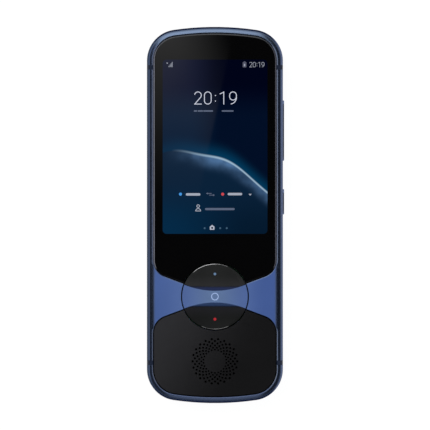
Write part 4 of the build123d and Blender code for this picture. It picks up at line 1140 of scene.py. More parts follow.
@dataclass(frozen=True)
class Coated:
    """Optical glass or clear resin over something dark, with a faint coating tint."""

    tint: Colour
    rim: Colour
    centre: Point
    radius: float
    roughness: float = 0.03
    tint_reach: Span = (0.2, 1.0)
    ring_rate: float = 38
    ring_share: float = 0.15
    haze: float = 0.03
    smear: Grain = Grain(size_mm=2.0, detail=3.0, depth_mm=0.002, strength=0.3)

    def paint(self, sheet: NodeSheet) -> Signal:
        """Adds the glass's nodes.

        Args:
            sheet: The sheet that they go on.

        Returns:
            The shader.
        """
        where, x, y, _ = sheet.place()
        away = (x - self.centre[0]).reach(y - self.centre[1]) / self.radius
        smear = self.smear.noise(where)
        rings = (away * self.ring_rate).sine() * 0.5 + 0.5
        base = sheet.mix(away.ramp(*self.tint_reach), self.tint, self.rim)
        return sheet.shine({
            "Base Color": sheet.mix(rings * self.ring_share, base, self.rim),
            "Roughness": self.roughness + smear * self.haze,
            "Normal": self.smear.relief(smear),
        })


@dataclass(frozen=True)
class TableLight:
    """The floor: a lit table that keeps the shadow and is clear from below."""

    paper: Colour = (170, 170, 170)
    pale_paper: Colour = (178, 178, 178)
    mottle_mm: float = 900.0
    glow_level: float = 0.6
    background_level: float = 1.03
    background_share: float = 0.75

    def paint(self, sheet: NodeSheet) -> Signal:
        """Adds the floor's nodes.

        Args:
            sheet: The sheet that they go on.

        Returns:
            The shader.
        """
        where, *_ = sheet.place()
        paper = sheet.mix(sheet.noise(where, self.mottle_mm), self.paper, self.pale_paper)
        cloth = sheet.add("ShaderNodeBsdfDiffuse", None, {"Color": paper})
        light = sheet.add("ShaderNodeEmission", None, {"Strength": self.glow_level})
        table = sheet.add("ShaderNodeAddShader", None, {0: cloth, 1: light})
        white = sheet.add("ShaderNodeEmission", None, {"Strength": self.background_level})
        share = sheet.seen() * self.background_share
        table = sheet.add("ShaderNodeMixShader", None, {0: share, 1: table, 2: white})
        clear = sheet.add("ShaderNodeBsdfTransparent")
        under = sheet.add("ShaderNodeNewGeometry", output="Backfacing")
        return sheet.add("ShaderNodeMixShader", None, {0: under, 1: table, 2: clear})


@dataclass(frozen=True)
class TentLight:
    """The tent: dark overhead, with uneven walls and a slanted card near the top.

    A rise is a share of the tent's radius, a way is the cosine of the angle between a place
    and one side of the tent, and a level is a strength of light. The card's places and the
    tent's radius are in millimetres.
    """

    radius: float
    axis_gap: float = 1.0
    top_way: Span = (0.78, 0.93)
    low_way: Span = (0.90, 0.985)
    left_way: Span = (0.2, 0.6)
    dim_way: Span = (0.25, 0.60)
    dim_share: float = 0.8
    wall_level: float = 0.04
    left_level: float = 0.025
    skirt_rise: Span = (0.27, 0.55)
    skirt_level: float = 0.30
    left_skirt_level: float = 0.24
    top_rise: Span = (0.25, 0.7)
    top_level: float = 0.35
    top_rise_level: float = 1.1
    low_rise: Span = (0.1, 0.9)
    low_level: float = 0.45
    ceiling_rise: Span = (0.972, 0.990)
    ceiling_level: float = 0.018
    card_way: Point = (0.978, 0.2083)
    card_offset: float = 12.3
    card_edge: Span = (-1.0, 1.0)
    card_rise: Span = (0.80, 0.90)
    card_x: Span = (-150.0, -90.0)
    card_low_y: float = -6.0
    card_length: float = 111.0
    card_most: float = 1.2
    card_power: float = 1.9
    card_fade: Span = (8.0, 50.0)
    card_fade_slant: float = 0.346
    card_level: float = 0.60

    def walls(self, x: Signal, y: Signal, rise: Signal) -> Signal:
        """Lights the tent's walls.

        Args:
            x: The place across the tent.
            y: The place along it.
            rise: How high up it is.

        Returns:
            The walls' light.
        """
        reach = (x * x + y * y + self.axis_gap) ** 0.5
        top = towards_bright_wall(x, y, reach).ramp(*self.top_way)
        low_way = y / reach * -1
        left = (x / reach * -1).ramp(*self.left_way)
        sides = 1 - low_way.ramp(*self.dim_way) * self.dim_share
        skirt = rise.fade(*self.skirt_rise) * (self.skirt_level + left * self.left_skirt_level)
        walls = self.wall_level + left * self.left_level + skirt * sides
        walls = walls + top * (self.top_level + rise.ramp(*self.top_rise) * self.top_rise_level)
        return walls + low_way.ramp(*self.low_way) * rise.ramp(*self.low_rise) * self.low_level

    def card(self, x: Signal, y: Signal, rise: Signal) -> Signal:
        """Lights the slanted card, which fades along its length and to the right.

        Args:
            x: The place across the tent.
            y: The place along it.
            rise: How high up it is.

        Returns:
            The card's light.
        """
        side = x * self.card_way[0] - y * self.card_way[1] + self.card_offset
        fall = ((y - self.card_low_y) / self.card_length).most(0.0).least(self.card_most)
        fade = (x + y * self.card_fade_slant).fade(*self.card_fade)
        card = side.fade(*self.card_edge) * rise.ramp(*self.card_rise) * x.ramp(*self.card_x)
        return card * fall ** self.card_power * fade * self.card_level

    def paint(self, sheet: NodeSheet) -> Signal:
        """Adds the tent's nodes.

        Args:
            sheet: The sheet that they go on.

        Returns:
            The shader.
        """
        _, x, y, z = sheet.place()
        rise = z / self.radius
        ceiling = rise.ramp(*self.ceiling_rise)
        light = self.walls(x, y, rise) * (1 - ceiling) + ceiling * self.ceiling_level
        inputs = {"Color": WHITE, "Strength": light + self.card(x, y, rise)}
        return sheet.add("ShaderNodeEmission", None, inputs)


WARDROBE: dict[Finish, bpy.types.Material] = {}


def dress(piece: bpy.types.Object, finish: Finish, label: str) -> None:
    """Gives a piece its finish, made once for all the pieces that share it.

    Args:
        piece: The mesh object.
        finish: What it is dressed in.
        label: The material's name if it is new.
    """
    if finish not in WARDROBE:
        material = bpy.data.materials.new(label)
        sheet = NodeSheet(material)
        sheet.finish(finish.paint(sheet))
        WARDROBE[finish] = material
    if not piece.material_slots:
        piece.data.materials.append(WARDROBE[finish])
    for slot in piece.material_slots:
        slot.material = WARDROBE[finish]


def dress_nodes(finishes: Mapping[str, Finish]) -> list[str]:
    """Dresses CAD nodes.

    Args:
        finishes: What each is dressed in, by the node's name.

    Returns:
        The nodes' names.
    """
    for name, finish in finishes.items():
        dress(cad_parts[name], finish, f"{name}_finish")
    return list(finishes)


def object_of(form: Form, name: str) -> bpy.types.Object:
    """Puts a finished form into the scene, in place.

    Args:
        form: The form in metres, which is freed.
        name: The object's name.

    Returns:
        The object.
    """
    mesh = bpy.data.meshes.new(name)
    form.to_mesh(mesh)
    form.free()
    made = bpy.data.objects.new(name, mesh)
    bpy.context.scene.collection.objects.link(made)
    return made


def settle(form: Form, name: str, finish: Finish) -> str:
    """Makes a piece of a finished form, riding on the housing.

    Args:
        form: The form in metres, which is freed.
        name: The piece's name.
        finish: What it is dressed in.

    Returns:
        The piece's name.
    """
    bmesh.ops.remove_doubles(form, verts=form.verts, dist=MERGE_DISTANCE)
    bmesh.ops.recalc_face_normals(form, faces=form.faces)
    piece = object_of(form, name)
    piece.data.shade_smooth()
    piece.data.set_sharp_from_angle(angle=math.radians(SHARP_ANGLE))
    dress(piece, finish, f"{name}_finish")
    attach(piece, HOUSING)
    return name


def shift(x: float, y: float, z: float) -> Matrix:
    """Returns a move in millimetres."""
    return Matrix.Translation(Vector((x, y, z)) * MM)


def turn(degrees: float, axis: str = "Z") -> Matrix:
    """Returns a turn about an axis through the origin."""
    return Matrix.Rotation(math.radians(degrees), 4, axis)


def stretch(width: float, height: float) -> Matrix:
    """Returns what makes a flat form of size 1 m as wide and high as given in millimetres."""
    return Matrix.Diagonal((width * MM, height * MM, 1.0, 1.0))


def square(spot: Matrix) -> Form:
    """Starts a part from a square of size 1 m.

    Args:
        spot: What places and stretches it.

    Returns:
        The part.
    """
    part = bmesh.new()
    bmesh.ops.create_grid(part, x_segments=1, y_segments=1, size=0.5, matrix=spot)
    return part


def join(form: Form, part: Form) -> None:
    """Adds a part to a form.

    Args:
        form: What it is added to.
        part: The part, which is freed.
    """
    mesh = bpy.data.meshes.new("part")
    part.to_mesh(mesh)
    part.free()
    form.from_mesh(mesh)
    bpy.data.meshes.remove(mesh)


def spin(part: Form, centre: Vector, section: list[Any], sweep: float, steps: int) -> None:
    """Spins a section round a vertical axis, and closes it where the turn is full."""
    bmesh.ops.spin(part, geom=section, cent=centre, axis=(0, 0, 1), angle=math.radians(sweep),
                   steps=steps, use_merge=sweep >= FULL_CIRCLE, use_duplicate=False)


def turned(form: Form, middle: Point, section: list[Point], steps: int = 64) -> None:
    """Adds a turned form.

    Args:
        form: What it is added to.
        middle: The place of its axis, in millimetres.
        section: Its radius and height at each corner, in millimetres.
        steps: The number of facets.
    """
    part = bmesh.new()
    axis = Vector((*middle, 0)) * MM
    verts = [part.verts.new(axis + Vector((radius * MM, 0, z * MM))) for radius, z in section]
    for pair in zip(verts, verts[1:]):
        part.edges.new(pair)
    spin(part, axis, part.verts[:] + part.edges[:], FULL_CIRCLE, steps)
    join(form, part)


@dataclass(frozen=True)
class Layer:
    """Flat forms of one thickness that start at one height, gathered in one form.

    Places and sizes are in millimetres and angles in degrees from +X.
    """

    form: Form
    low: float
    thick: float

    def above(self, lift: float) -> "Layer":
        """Returns a higher layer of the same form."""
        return replace(self, low=self.low + lift)

    def settle(self, name: str, finish: Finish) -> str:
        """Makes a piece of the whole form and returns its name."""
        return settle(self.form, name, finish)

    def add(self, part: Form) -> None:
        """Adds a flat part, raised to the layer's thickness.

        Args:
            part: The part, which is freed.
        """
        raised = bmesh.ops.extrude_face_region(part, geom=part.faces[:], use_keep_orig=True)
        tops = [item for item in raised["geom"] if isinstance(item, bmesh.types.BMVert)]
        bmesh.ops.translate(part, verts=tops, vec=(0, 0, self.thick * MM))
        join(self.form, part)

    def plate(self, middle: Point, size: Point, corner: float) -> None:
        """Adds a plate with rounded corners.

        Args:
            middle: Its middle.
            size: Its width and height.
            corner: Its corner radius.
        """
        part = square(shift(*middle, self.low) @ stretch(*size))
        bmesh.ops.bevel(part, geom=part.verts[:], affect="VERTICES", offset=corner * MM,
                        segments=4, profile=0.5, material=-1)
        self.add(part)

    def wedge(self, middle: Point, size: Point, way: float) -> None:
        """Adds a triangle.

        Args:
            middle: Its middle.
            size: Its length towards its tip, and its width.
            way: The angle at which its tip points.
        """
        part = bmesh.new()
        spot = shift(*middle, self.low) @ turn(way)
        spot = spot @ stretch(size[0] / TRIANGLE[0], size[1] / TRIANGLE[1]) @ turn(-90)
        bmesh.ops.create_circle(part, cap_ends=True, segments=3, radius=1.0, matrix=spot)
        self.add(part)

    def ring(self, middle: Point, radii: Point, start: float = 0.0, sweep: float = FULL_CIRCLE,
             steps: int = 40) -> None:
        """Adds a ring, or part of one, by turning its section round its middle.

        Args:
            middle: Its middle.
            radii: Its inner and outer radius.
            start: The angle at which it starts.
            sweep: The angle that it covers.
            steps: The number of facets.
        """
        inner, outer = radii
        across = shift((outer + inner) / 2, 0, self.thick / 2) @ turn(90, "X")
        part = square(shift(*middle, self.low) @ turn(start) @ across
                      @ stretch(outer - inner, self.thick))
        if sweep >= FULL_CIRCLE:
            bmesh.ops.delete(part, geom=part.faces[:], context="FACES_ONLY")
        section = part.verts[:] + part.edges[:] + part.faces[:]
        spin(part, Vector((*middle, self.low)) * MM, section, sweep, steps)
        join(self.form, part)

    def bar(self, start: Point, end: Point, width: float) -> None:
        """Adds a straight stroke.

        Args:
            start: The middle of its first end.
            end: The middle of its other end.
            width: Its width.
        """
        run = Vector(end) - Vector(start)
        middle = ((start[0] + end[0]) / 2, (start[1] + end[1]) / 2)
        way = math.degrees(math.atan2(run.y, run.x))
        self.add(square(shift(*middle, self.low) @ turn(way) @ stretch(run.length, width)))


@dataclass(frozen=True)
class Figures:
    """The figures of a clock, drawn with strokes of one width.

    Sizes are shares of the figures' height, apart from the height itself, and a figure stands
    on the line at its left end. Angles are in degrees.
    """

    layer: Layer
    height: float
    stroke: float
    width: float
    advance: float
    colon_advance: float
    neck_angle: float = -32
    bow_sweep: float = 202
    foot_inset: float = 0.02
    stem: float = 0.58
    flag_start: Point = (0.08, 0.81)
    flag_end: float = 0.945
    eye_low: float = 0.31
    tail_radius: float = 0.5
    tail_start: float = -82
    tail_sweep: float = 90
    dots: Point = (0.26, 0.69)
    dot_size: float = 1.3
    dot_corner: float = 0.4
    arc_steps: int = 24

    @property
    def bend(self) -> float:
        """Returns the radius of a figure's round ends, at the middle of the stroke."""
        return (self.width - self.stroke) / 2

    def line(self, left: Point, start: Point, end: Point) -> None:
        """Draws a straight stroke between two places of a figure."""
        ends = [(left[0] + x * self.height, left[1] + y * self.height) for x, y in (start, end)]
        self.layer.bar(*ends, self.stroke * self.height)

    def arc(self, left: Point, middle: Point, radius: float, start: float, sweep: float) -> None:
        """Draws a round stroke.

        Args:
            left: Where the figure stands.
            middle: The arc's middle in the figure.
            radius: Its radius, at the middle of the stroke.
            start: The angle at which it starts.
            sweep: The angle that it covers.
        """
        spot = (left[0] + middle[0] * self.height, left[1] + middle[1] * self.height)
        radii = tuple((radius + half * self.stroke / 2) * self.height for half in (-1, 1))
        self.layer.ring(spot, radii, start, sweep, self.arc_steps)

    def loop(self, left: Point, low: float) -> None:
        """Draws a closed loop up to the top of a figure.

        Args:
            left: Where the figure stands.
            low: The height at which the loop starts.
        """
        near, middle, far = self.stroke / 2, self.width / 2, self.width - self.stroke / 2
        bottom, top = low + near + self.bend, 1 - near - self.bend
        self.arc(left, (middle, top), self.bend, 0.0, HALF_CIRCLE)
        self.arc(left, (middle, bottom), self.bend, HALF_CIRCLE, HALF_CIRCLE)
        for x in (near, far):
            self.line(left, (x, bottom), (x, top))

    def two(self, left: Point) -> None:
        """Draws a 2.

        Args:
            left: Where it stands.
        """
        near, middle = self.stroke / 2, self.width / 2
        top, slope = 1 - near - self.bend, math.radians(self.neck_angle)
        self.arc(left, (middle, top), self.bend, self.neck_angle, self.bow_sweep)
        neck = (middle + self.bend * math.cos(slope), top + self.bend * math.sin(slope))
        self.line(left, neck, (near + self.foot_inset, near))
        self.line(left, (0.0, near), (self.width, near))

    def one(self, left: Point) -> None:
        """Draws a 1 with its flag.

        Args:
            left: Where it stands.
        """
        stem = self.width * self.stem
        self.line(left, (stem, 0.0), (stem, 1.0))
        self.line(left, (stem * self.flag_start[0], self.flag_start[1]), (stem, self.flag_end))

    def nine(self, left: Point) -> None:
        """Draws a 9.

        Args:
            left: Where it stands.
        """
        self.loop(left, self.eye_low)
        inset = self.stroke / 2 + self.tail_radius
        self.arc(left, (self.width - inset, inset), self.tail_radius, self.tail_start,
                 self.tail_sweep)

    def colon(self, left: Point) -> None:
        """Draws the two dots between hours and minutes.

        Args:
            left: Where they stand.
        """
        across = (self.colon_advance + self.width - self.advance) / 2
        size = self.dot_size * self.stroke * self.height
        for y in self.dots:
            spot = (left[0] + across * self.height, left[1] + y * self.height)
            self.layer.plate(spot, (size, size), size * self.dot_corner)

    def write(self, text: str, middle: Point) -> None:
        """Writes a time.

        Args:
            text: What is written.
            middle: The place of its middle, in millimetres.
        """
        drawn = {"0": lambda left: self.loop(left, 0.0), "1": self.one, "2": self.two,
                 "9": self.nine, ":": self.colon}
        steps = [self.colon_advance if sign == ":" else self.advance for sign in text]
        length = sum(steps) - self.advance + self.width
        x, y = middle[0] - length * self.height / 2, middle[1] - self.height / 2
        for sign, step in zip(text, steps):
            drawn[sign]((x, y))
            x += step * self.height


@dataclass(frozen=True)
class SoftLamp:
    """A round soft lamp that points at the object and isn't mirrored in it."""

    name: str
    spot: Triple
    size: float
    power: float

    def hang(self) -> str:
        """Hangs the lamp.

        Returns:
            Its name.
        """
        data = bpy.data.lights.new(self.name, "AREA")
        data.shape, data.size, data.energy = "DISK", self.size, self.power
        lamp = bpy.data.objects.new(self.name, data)
        lamp.location = self.spot
        lamp.rotation_euler = (-Vector(self.spot)).to_track_quat("-Z", "Y").to_euler()
        lamp.visible_glossy = False
        bpy.context.scene.collection.objects.link(lamp)
        return self.name


@dataclass
class Studio:
    """Camera, pale floor, soft light and the tent that the metal and glass reflect.

    Its sizes are in metres.
    """

    view_width: float = 0.16546
    face_height: float = 0.013
    camera_height: float = 1.5
    camera_spot: Point = (0.00003, 0.0)
    sensor_width: float = 36.0
    clip: Span = (0.05, 20.0)
    floor_radius: float = 6.0
    floor_drop: float = 0.00005
    tent_radius: float = 0.9
    tent_margin: float = 0.0001
    facets: int = 96
    room_level: float = 0.62
    key_lamp: SoftLamp = SoftLamp("key_lamp", spot=(-0.55, 0.65, 1.1), size=0.9, power=9.0)
    fill_lamp: SoftLamp = SoftLamp("fill_lamp", spot=(0.70, -0.35, 0.9), size=1.1, power=5.0)

    def camera(self) -> str:
        """Sets the camera straight over the display.

        Returns:
            Its name.
        """
        data = bpy.data.cameras.new("view_camera")
        data.sensor_width = self.sensor_width
        data.lens = self.sensor_width * (self.camera_height - self.face_height) / self.view_width
        data.clip_start, data.clip_end = self.clip
        camera = bpy.data.objects.new("view_camera", data)
        camera.location = (*self.camera_spot, self.camera_height)
        bpy.context.scene.collection.objects.link(camera)
        bpy.context.scene.camera = camera
        return camera.name

    def prop(self, name: str, form: Form, finish: Finish) -> bpy.types.Object:
        """Makes a stage object of a form.

        Args:
            name: Its name.
            form: Its form, which is freed.
            finish: What it is dressed in.

        Returns:
            The object.
        """
        made = object_of(form, name)
        dress(made, finish, name)
        return made

    def floor(self) -> str:
        """Lays the floor just under the object.

        Returns:
            Its name.
        """
        form = bmesh.new()
        low = Matrix.Translation((0, 0, -self.floor_drop))
        bmesh.ops.create_circle(form, cap_ends=True, segments=self.facets,
                                radius=self.floor_radius, matrix=low)
        return self.prop("studio_floor", form, TableLight()).name

    def tent(self) -> str:
        """Hangs the tent, which only mirrored rays see.

        Returns:
            Its name.
        """
        form = bmesh.new()
        bmesh.ops.create_uvsphere(form, u_segments=self.facets, v_segments=self.facets // 2,
                                  radius=self.tent_radius)
        under = [vert for vert in form.verts if vert.co.z < -self.tent_margin]
        bmesh.ops.delete(form, geom=under, context="VERTS")
        bmesh.ops.reverse_faces(form, faces=form.faces)
        tent = self.prop("studio_tent", form, TentLight(self.tent_radius * MM_PER_METRE))
        tent.visible_camera = tent.visible_diffuse = tent.visible_shadow = False
        tent.visible_transmission = tent.visible_volume_scatter = False
        return tent.name

    def room(self) -> str:
        """Makes the white room round the stage.

        Returns:
            Its name.
        """
        world = bpy.data.worlds.new("white_room")
        sheet = NodeSheet(world)
        level = self.room_level + sheet.seen() * (1.0 - self.room_level)
        air = sheet.add("ShaderNodeBackground", None, {"Color": WHITE, "Strength": level})
        sheet.finish(air, "ShaderNodeOutputWorld")
        bpy.context.scene.world = world
        return world.name

    def build(self) -> list[str]:
        """Builds the whole stage.

        Returns:
            The names of what it holds.
        """
        bpy.context.scene.view_settings.view_transform = "Standard"
        lamps = [self.key_lamp, self.fill_lamp]
        names = [self.camera(), self.floor(), self.tent()]
        return [*names, *(lamp.hang() for lamp in lamps), self.room()]


ANODISED = Anodised()
STEEL = Metal((176, 178, 182), roughness=0.26)
SPRING_STEEL = Metal((190, 188, 182), roughness=0.2, lines=replace(METAL_LINES, size_mm=0.2))
NICKEL = Metal((168, 166, 158), 0.34, Working.STAMPED, replace(METAL_LINES, size_mm=0.8))
COPPER = Metal((196, 118, 74), roughness=0.3, lines=replace(METAL_LINES, size_mm=0.1))
GOLD = Metal((214, 172, 96), roughness=0.22, lines=replace(METAL_LINES, size_mm=0.3))
MAGNET = Metal((120, 122, 126), 0.42, Working.STAMPED, replace(METAL_LINES, size_mm=0.3))
MAGNESIUM = Metal((150, 152, 156), 0.5, Working.STAMPED,
                  replace(METAL_LINES, size_mm=0.6, depth_mm=0.01))
BOARD = Laminate()
FLEX = Laminate(mask=(128, 74, 22), copper=(164, 104, 40), run_mm=0.7)
BLACK_PLASTIC = Satin((24, 24, 26), roughness=0.5)
TAPE = Satin((18, 18, 20), roughness=0.65, grain=replace(SATIN_GRAIN, size_mm=0.4))
CARD = Satin((222, 222, 218), roughness=0.45)
FOAM = Woven((30, 30, 32), pitch_mm=0.35, roughness=0.95)


@dataclass
class Housing:
    """The frame, its antenna strips, the rear cover and what is screwed inside."""

    strip: Satin = Satin((18, 28, 48), roughness=0.5, gloss=0.25)
    back: Brushed = Brushed()

    def build(self) -> list[str]:
        """Dresses the housing.

        Returns:
            Its pieces.
        """
        return dress_nodes({
            "frame": ANODISED,
            "antenna_breaks": self.strip,
            "rear_cover": self.back,
            "mid_plate": MAGNESIUM,
            "plate_screws": STEEL,
            "board_screws": STEEL,
            "bracket_screws": STEEL,
        })


@dataclass
class Display:
    """The cover glass with its lit picture, and the marks that the display shows.

    A mark is a thin plate on the glass. The names that end in _x and _y give the middles of
    marks that stand under or beside each other, and lift is how far one lies over another.
    """

    face_z: float = 12.952
    mark_thickness: float = 0.012
    lift: float = 0.013
    white: Colour = (208, 213, 228)
    pale: Colour = (166, 172, 186)
    grey: Colour = (160, 165, 178)
    dim: Colour = (92, 102, 124)
    dot: Colour = (62, 92, 116)
    blue: Colour = (70, 152, 226)
    red: Colour = (206, 72, 80)
    mark: Colour = (182, 188, 204)
    shell: Colour = (84, 86, 104)
    door: Colour = (8, 20, 36)
    glass: LitGlass = LitGlass()
    bond: Satin = Satin((14, 16, 22), roughness=0.2)
    module: Satin = Satin((16, 18, 26), roughness=0.22)
    time: str = "20:19"
    clock_spot: Point = (0.21, 45.03)
    status_spot: Point = (16.15, 57.87)
    date_y: float = 40.03
    signal_spot: Point = (-17.7, 56.9)
    signal_step: Point = (0.42, 0.5)
    signal_bars: int = 4
    battery_x: float = 11.4
    language_y: float = 8.02
    profile_x: float = -6.45
    pages_y: float = -5.07
    home_x: float = -1.07

    def layer(self) -> Layer:
        """Returns an empty layer on the glass."""
        return Layer(bmesh.new(), self.face_z, self.mark_thickness)

    def clock(self) -> list[str]:
        """Makes the large clock and the row of marks under it.

        Returns:
            The pieces' names.
        """
        clock, date = self.layer(), self.layer()
        figures = Figures(clock, height=4.98, stroke=0.061, width=0.582, advance=0.762,
                          colon_advance=0.425)
        figures.write(self.time, self.clock_spot)
        for x, width in ((-7.5, 1.3), (-5.6, 2.1), (-2.6, 3.8), (4.9, 4.6)):
            date.plate((x, self.date_y), size=(width, 0.55), corner=0.25)
        return [
            clock.settle("clock_figures", Ink(self.white)),
            date.settle("date_marks", Ink(self.dim)),
        ]

    def status(self) -> list[str]:
        """Makes the signal bars, the battery and the small clock of the top row.

        Returns:
            The pieces' names.
        """
        signal, battery, clock = self.layer(), self.layer(), self.layer()
        for step in range(self.signal_bars):
            tall = self.signal_step[1] * (step + 1)
            x = self.signal_spot[0] + step * self.signal_step[0]
            signal.plate((x, self.signal_spot[1] + tall / 2), size=(0.22, tall), corner=0.05)
        signal.wedge((-18.35, 58.45), size=(0.5, 0.8), way=-90)
        battery.plate((self.battery_x, 57.85), size=(1.45, 2.1), corner=0.3)
        battery.plate((self.battery_x, 59.0), size=(0.6, 0.26), corner=0.05)
        clock.above(self.lift).plate((self.battery_x, 57.7), size=(0.5, 1.0), corner=0.2)
        figures = Figures(clock, height=2.0, stroke=0.085, width=0.56, advance=0.665,
                          colon_advance=0.34)
        figures.write(self.time, self.status_spot)
        return [
            signal.settle("signal_marks", Ink(self.grey)),
            battery.settle("battery_mark", Ink(self.shell)),
            clock.settle("status_figures", Ink(self.grey)),
        ]

    def languages(self) -> list[str]:
        """Makes the row that shows which way the speech is turned.

        Returns:
            The pieces' names.
        """
        source, target, marks, arrows = (self.layer() for _ in range(4))
        for dot, x in ((source, -13.26), (target, 2.98)):
            dot.plate((x, self.language_y), size=(1.18, 1.18), corner=0.58)
        for spot in ((-8.4, 7.93), (7.7, 8.05)):
            marks.plate(spot, size=(5.6, 0.95), corner=0.45)
        marks.wedge((13.55, 7.9), size=(0.75, 1.2), way=-90)
        for tip, way in (((-2.95, 8.3), HALF_CIRCLE), ((-0.5, 7.65), 0)):
            arrows.wedge(tip, size=(0.7, 0.85), way=way)
        for shaft in ((-2.0, 8.3), (-1.45, 7.65)):
            arrows.plate(shaft, size=(1.5, 0.28), corner=0.1)
        return [
            source.settle("source_dot", Ink(self.blue)),
            target.settle("target_dot", Ink(self.red)),
            marks.settle("language_marks", Ink(self.pale)),
            arrows.settle("swap_arrows", Ink(self.dim)),
        ]

    def helper(self) -> list[str]:
        """Makes the row with the small figure and its marks.

        Returns:
            The pieces' names.
        """
        profile, marks = self.layer(), self.layer()
        profile.ring((self.profile_x, 3.42), radii=(0.36, 0.66))
        profile.ring((self.profile_x, 1.52), radii=(0.80, 1.10), sweep=HALF_CIRCLE, steps=20)
        profile.plate((self.profile_x, 1.55), size=(2.2, 0.28), corner=0.1)
        marks.plate((1.9, 2.28), size=(11.4, 0.85), corner=0.4)
        return [
            profile.settle("profile_mark", Ink(self.pale)),
            marks.settle("helper_marks", Ink(self.dim)),
        ]

    def pages(self) -> list[str]:
        """Makes the page dots and the house between them.

        Returns:
            The pieces' names.
        """
        dots, home, door = self.layer(), self.layer(), self.layer()
        for x in (-3.95, 2.03, 4.55):
            dots.plate((x, self.pages_y), size=(0.75, 0.75), corner=0.36)
        home.plate((self.home_x, -5.11), size=(1.8, 1.15), corner=0.25)
        home.wedge((self.home_x, -4.36), size=(0.85, 2.1), way=90)
        door.above(self.lift).plate((self.home_x, -4.95), size=(0.8, 0.8), corner=0.39)
        return [
            dots.settle("page_dots", Ink(self.dot)),
            home.settle("home_mark", Ink(self.mark)),
            door.settle("home_door", Ink(self.door)),
        ]

    def build(self) -> list[str]:
        """Dresses the display's parts and makes its marks.

        Returns:
            The pieces' names.
        """
        names = dress_nodes({
            "cover_glass": self.glass,
            "cover_glass_tape": TAPE,
            "display_bond": self.bond,
            "display_module": self.module,
        })
        for row in (self.clock, self.status, self.languages, self.helper, self.pages):
            names += row()
        return names


@dataclass
class Speaker:
    """The lower panel with its grille, and the speaker behind it."""

    # The panel's painted light: lighter at the left and darker to the right, along a slant.
    panel: Pierced = Pierced(
        colour=(35, 35, 38), far=(9, 9, 11), span=(-33.0, 12.0), slant=0.55, middle_y=-56.3,
        roughness=0.42, gloss=0.27, grain=replace(SATIN_GRAIN, size_mm=0.15))
    mesh: Woven = Woven((3, 3, 4), gloss=0.02)
    cone: Woven = Woven((40, 38, 36), pitch_mm=0.5, roughness=0.7)
    surround: Satin = Satin((30, 30, 31), roughness=0.6)

    def build(self) -> list[str]:
        """Dresses the speaker end.

        Returns:
            Its pieces.
        """
        return dress_nodes({
            "lower_panel": self.panel,
            "lower_panel_tape": TAPE,
            "speaker_mesh": self.mesh,
            "speaker_gasket": FOAM,
            "speaker_basket": BLACK_PLASTIC,
            "speaker_yoke": STEEL,
            "speaker_magnet": MAGNET,
            "speaker_pole": STEEL,
            "voice_coil": COPPER,
            "speaker_cone": self.cone,
            "speaker_surround": self.surround,
            "speaker_bracket": BLACK_PLASTIC,
        })


@dataclass
class TalkKey:
    """The round rocking key, its inserts and light guides, and what carries it."""

    disc: KeyMetal = KeyMetal()
    upper: KeyLacquer = KeyLacquer((28, 29, 29), near=(37, 37, 38))
    lower: KeyLacquer = KeyLacquer((22, 23, 23), near=(28, 28, 31), gloss=0.05)
    blue: Lamp = Lamp((96, 124, 156))
    red: Lamp = Lamp((172, 28, 36))
    icon: Satin = Satin((150, 172, 214), roughness=0.35)

    def build(self) -> list[str]:
        """Dresses the key's parts.

        Returns:
            Their names.
        """
        return dress_nodes({
            "key_disc": self.disc,
            "key_insert_upper": self.upper,
            "key_insert_lower": self.lower,
            "light_guide_blue": self.blue,
            "light_guide_red": self.red,
            "key_ring_icon": self.icon,
            "key_pivot_pin": STEEL,
            "key_carrier": BLACK_PLASTIC,
            "key_bracket": BLACK_PLASTIC,
            "key_board": BOARD,
            "key_domes": SPRING_STEEL,
        })


@dataclass
class SideControls:
    """The volume and power keys, their switches, and the card tray opposite."""

    def build(self) -> list[str]:
        """Dresses the side keys and the tray.

        Returns:
            Their pieces.
        """
        return dress_nodes({
            "volume_key": ANODISED,
            "power_key": ANODISED,
            "side_key_plate": STEEL,
            "side_key_domes": SPRING_STEEL,
            "sim_tray": ANODISED,
            "sim_card": CARD,
            "sim_reader": NICKEL,
        })


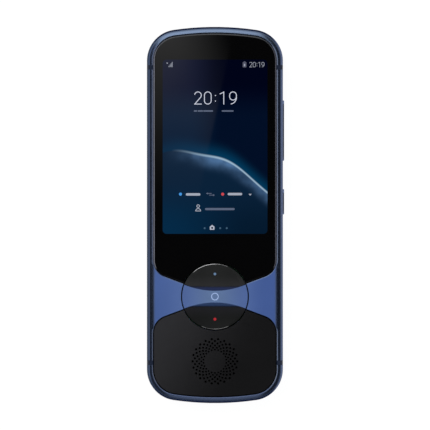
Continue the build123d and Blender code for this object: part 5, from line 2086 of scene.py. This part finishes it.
@dataclass
class Camera:
    """The rear camera and its flash."""

    spot: Point = (12.0, 56.6)
    flash_spot: Point = (1.8, 56.6)
    window_radius: float = 4.2
    flash_radius: float = 1.9
    hood_section: tuple[Point, ...] = (
        (3.05, 1.50), (3.05, 0.90), (2.60, 0.90), (2.45, 1.05), (2.10, 1.05), (1.95, 1.22),
        (1.70, 1.22), (1.60, 1.45), (1.60, 1.50), (3.05, 1.50),
    )
    dome_radius: float = 3.1
    dome_centre_z: float = 4.25
    dome_angles: tuple[int, ...] = (0, 5, 10, 15, 20, 25, 30)
    lens_radius: float = 1.55
    lens_back_z: float = 1.75
    window_tint: Colour = (10, 12, 20)
    window_rim: Colour = (22, 24, 34)
    lens_tint: Colour = (20, 26, 54)
    lens_rim: Colour = (52, 30, 74)
    flash_tint: Colour = (236, 226, 190)
    flash_rim: Colour = (226, 228, 226)
    flash_roughness: float = 0.16
    ring: Metal = Metal((96, 104, 124), 0.22, Working.STAMPED, replace(METAL_LINES, size_mm=0.4))
    hood: Satin = Satin((14, 14, 15), roughness=0.5)
    led: Satin = Satin((240, 214, 90), roughness=0.4)

    def lens(self) -> list[str]:
        """Makes the stepped hood and the front lens behind the window.

        Returns:
            The pieces' names.
        """
        hood, lens = bmesh.new(), bmesh.new()
        turned(hood, self.spot, list(self.hood_section))
        radius, centre_z = self.dome_radius, self.dome_centre_z
        arc = [math.radians(angle) for angle in self.dome_angles]
        dome = [(radius * math.sin(a), centre_z - radius * math.cos(a)) for a in arc]
        back = [(self.lens_radius, self.lens_back_z), (0.0, self.lens_back_z)]
        turned(lens, self.spot, dome + back)
        coat = Coated(self.lens_tint, self.lens_rim, self.spot, self.lens_radius)
        return [settle(hood, "lens_hood", self.hood), settle(lens, "front_lens", coat)]

    def build(self) -> list[str]:
        """Dresses the camera's parts and makes its lens.

        Returns:
            The pieces' names.
        """
        window = Coated(self.window_tint, self.window_rim, self.spot, self.window_radius)
        flash = Coated(self.flash_tint, self.flash_rim, self.flash_spot, self.flash_radius,
                       self.flash_roughness)
        names = dress_nodes({
            "camera_ring": self.ring,
            "camera_window": window,
            "camera_module": BLACK_PLASTIC,
            "camera_bracket": STEEL,
            "flash_lens": flash,
            "flash_led": self.led,
        })
        return names + self.lens()


@dataclass
class ChargingPort:
    """The charging socket with the contacts on its tongue."""

    tongue_z: Point = (7.05, 7.75)
    contact_count: int = 12
    pitch: float = 0.5
    front_y: float = -69.9
    contact_size: Point = (0.26, 3.0)
    contact_corner: float = 0.05
    contact_thickness: float = 0.03

    def contacts(self) -> str:
        """Makes the two rows of contacts, on the lower and the upper face of the tongue.

        Returns:
            The piece's name.
        """
        form = bmesh.new()
        middle_y = self.front_y + self.contact_size[1] / 2
        for side, z in zip(Side, self.tongue_z):
            low = z if side is Side.HIGH else z - self.contact_thickness
            row = Layer(form, low, self.contact_thickness)
            for n in range(self.contact_count):
                x = (n - (self.contact_count - 1) / 2) * self.pitch
                row.plate((x, middle_y), self.contact_size, self.contact_corner)
        return settle(form, "port_contacts", GOLD)

    def build(self) -> list[str]:
        """Dresses the socket and makes its contacts.

        Returns:
            The pieces' names.
        """
        names = dress_nodes({
            "usb_receptacle": STEEL,
            "usb_tongue": BLACK_PLASTIC,
            "usb_board": BOARD,
            "usb_screws": STEEL,
            "link_flex": FLEX,
            "microphones": NICKEL,
            "mic_boots": FOAM,
        })
        return [*names, self.contacts()]


@dataclass
class Electronics:
    """The main board, its shields and the battery."""

    cell: Pouch = Pouch()

    def build(self) -> list[str]:
        """Dresses the inner parts.

        Returns:
            Their names.
        """
        return dress_nodes({
            "main_board": BOARD,
            "front_shield": NICKEL,
            "rear_shield": NICKEL,
            "battery": self.cell,
            "battery_tapes": TAPE,
        })


def main() -> None:
    """Builds every sub-assembly in order and reports its pieces."""
    logging.basicConfig(level=logging.INFO, format="%(message)s")
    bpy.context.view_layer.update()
    groups = (Studio(), Housing(), Display(), Speaker(), TalkKey(), SideControls(), Camera(),
              ChargingPort(), Electronics())
    dressed: set[str] = set()
    for group in groups:
        names = group.build()
        dressed.update(names)
        for name in names:
            LOG.info("%s: %s", type(group).__name__, name)
    bare = sorted(set(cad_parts) - dressed)
    if bare:
        LOG.warning("without a finish: %s", ", ".join(bare))


if __name__ == "__main__":
    main()
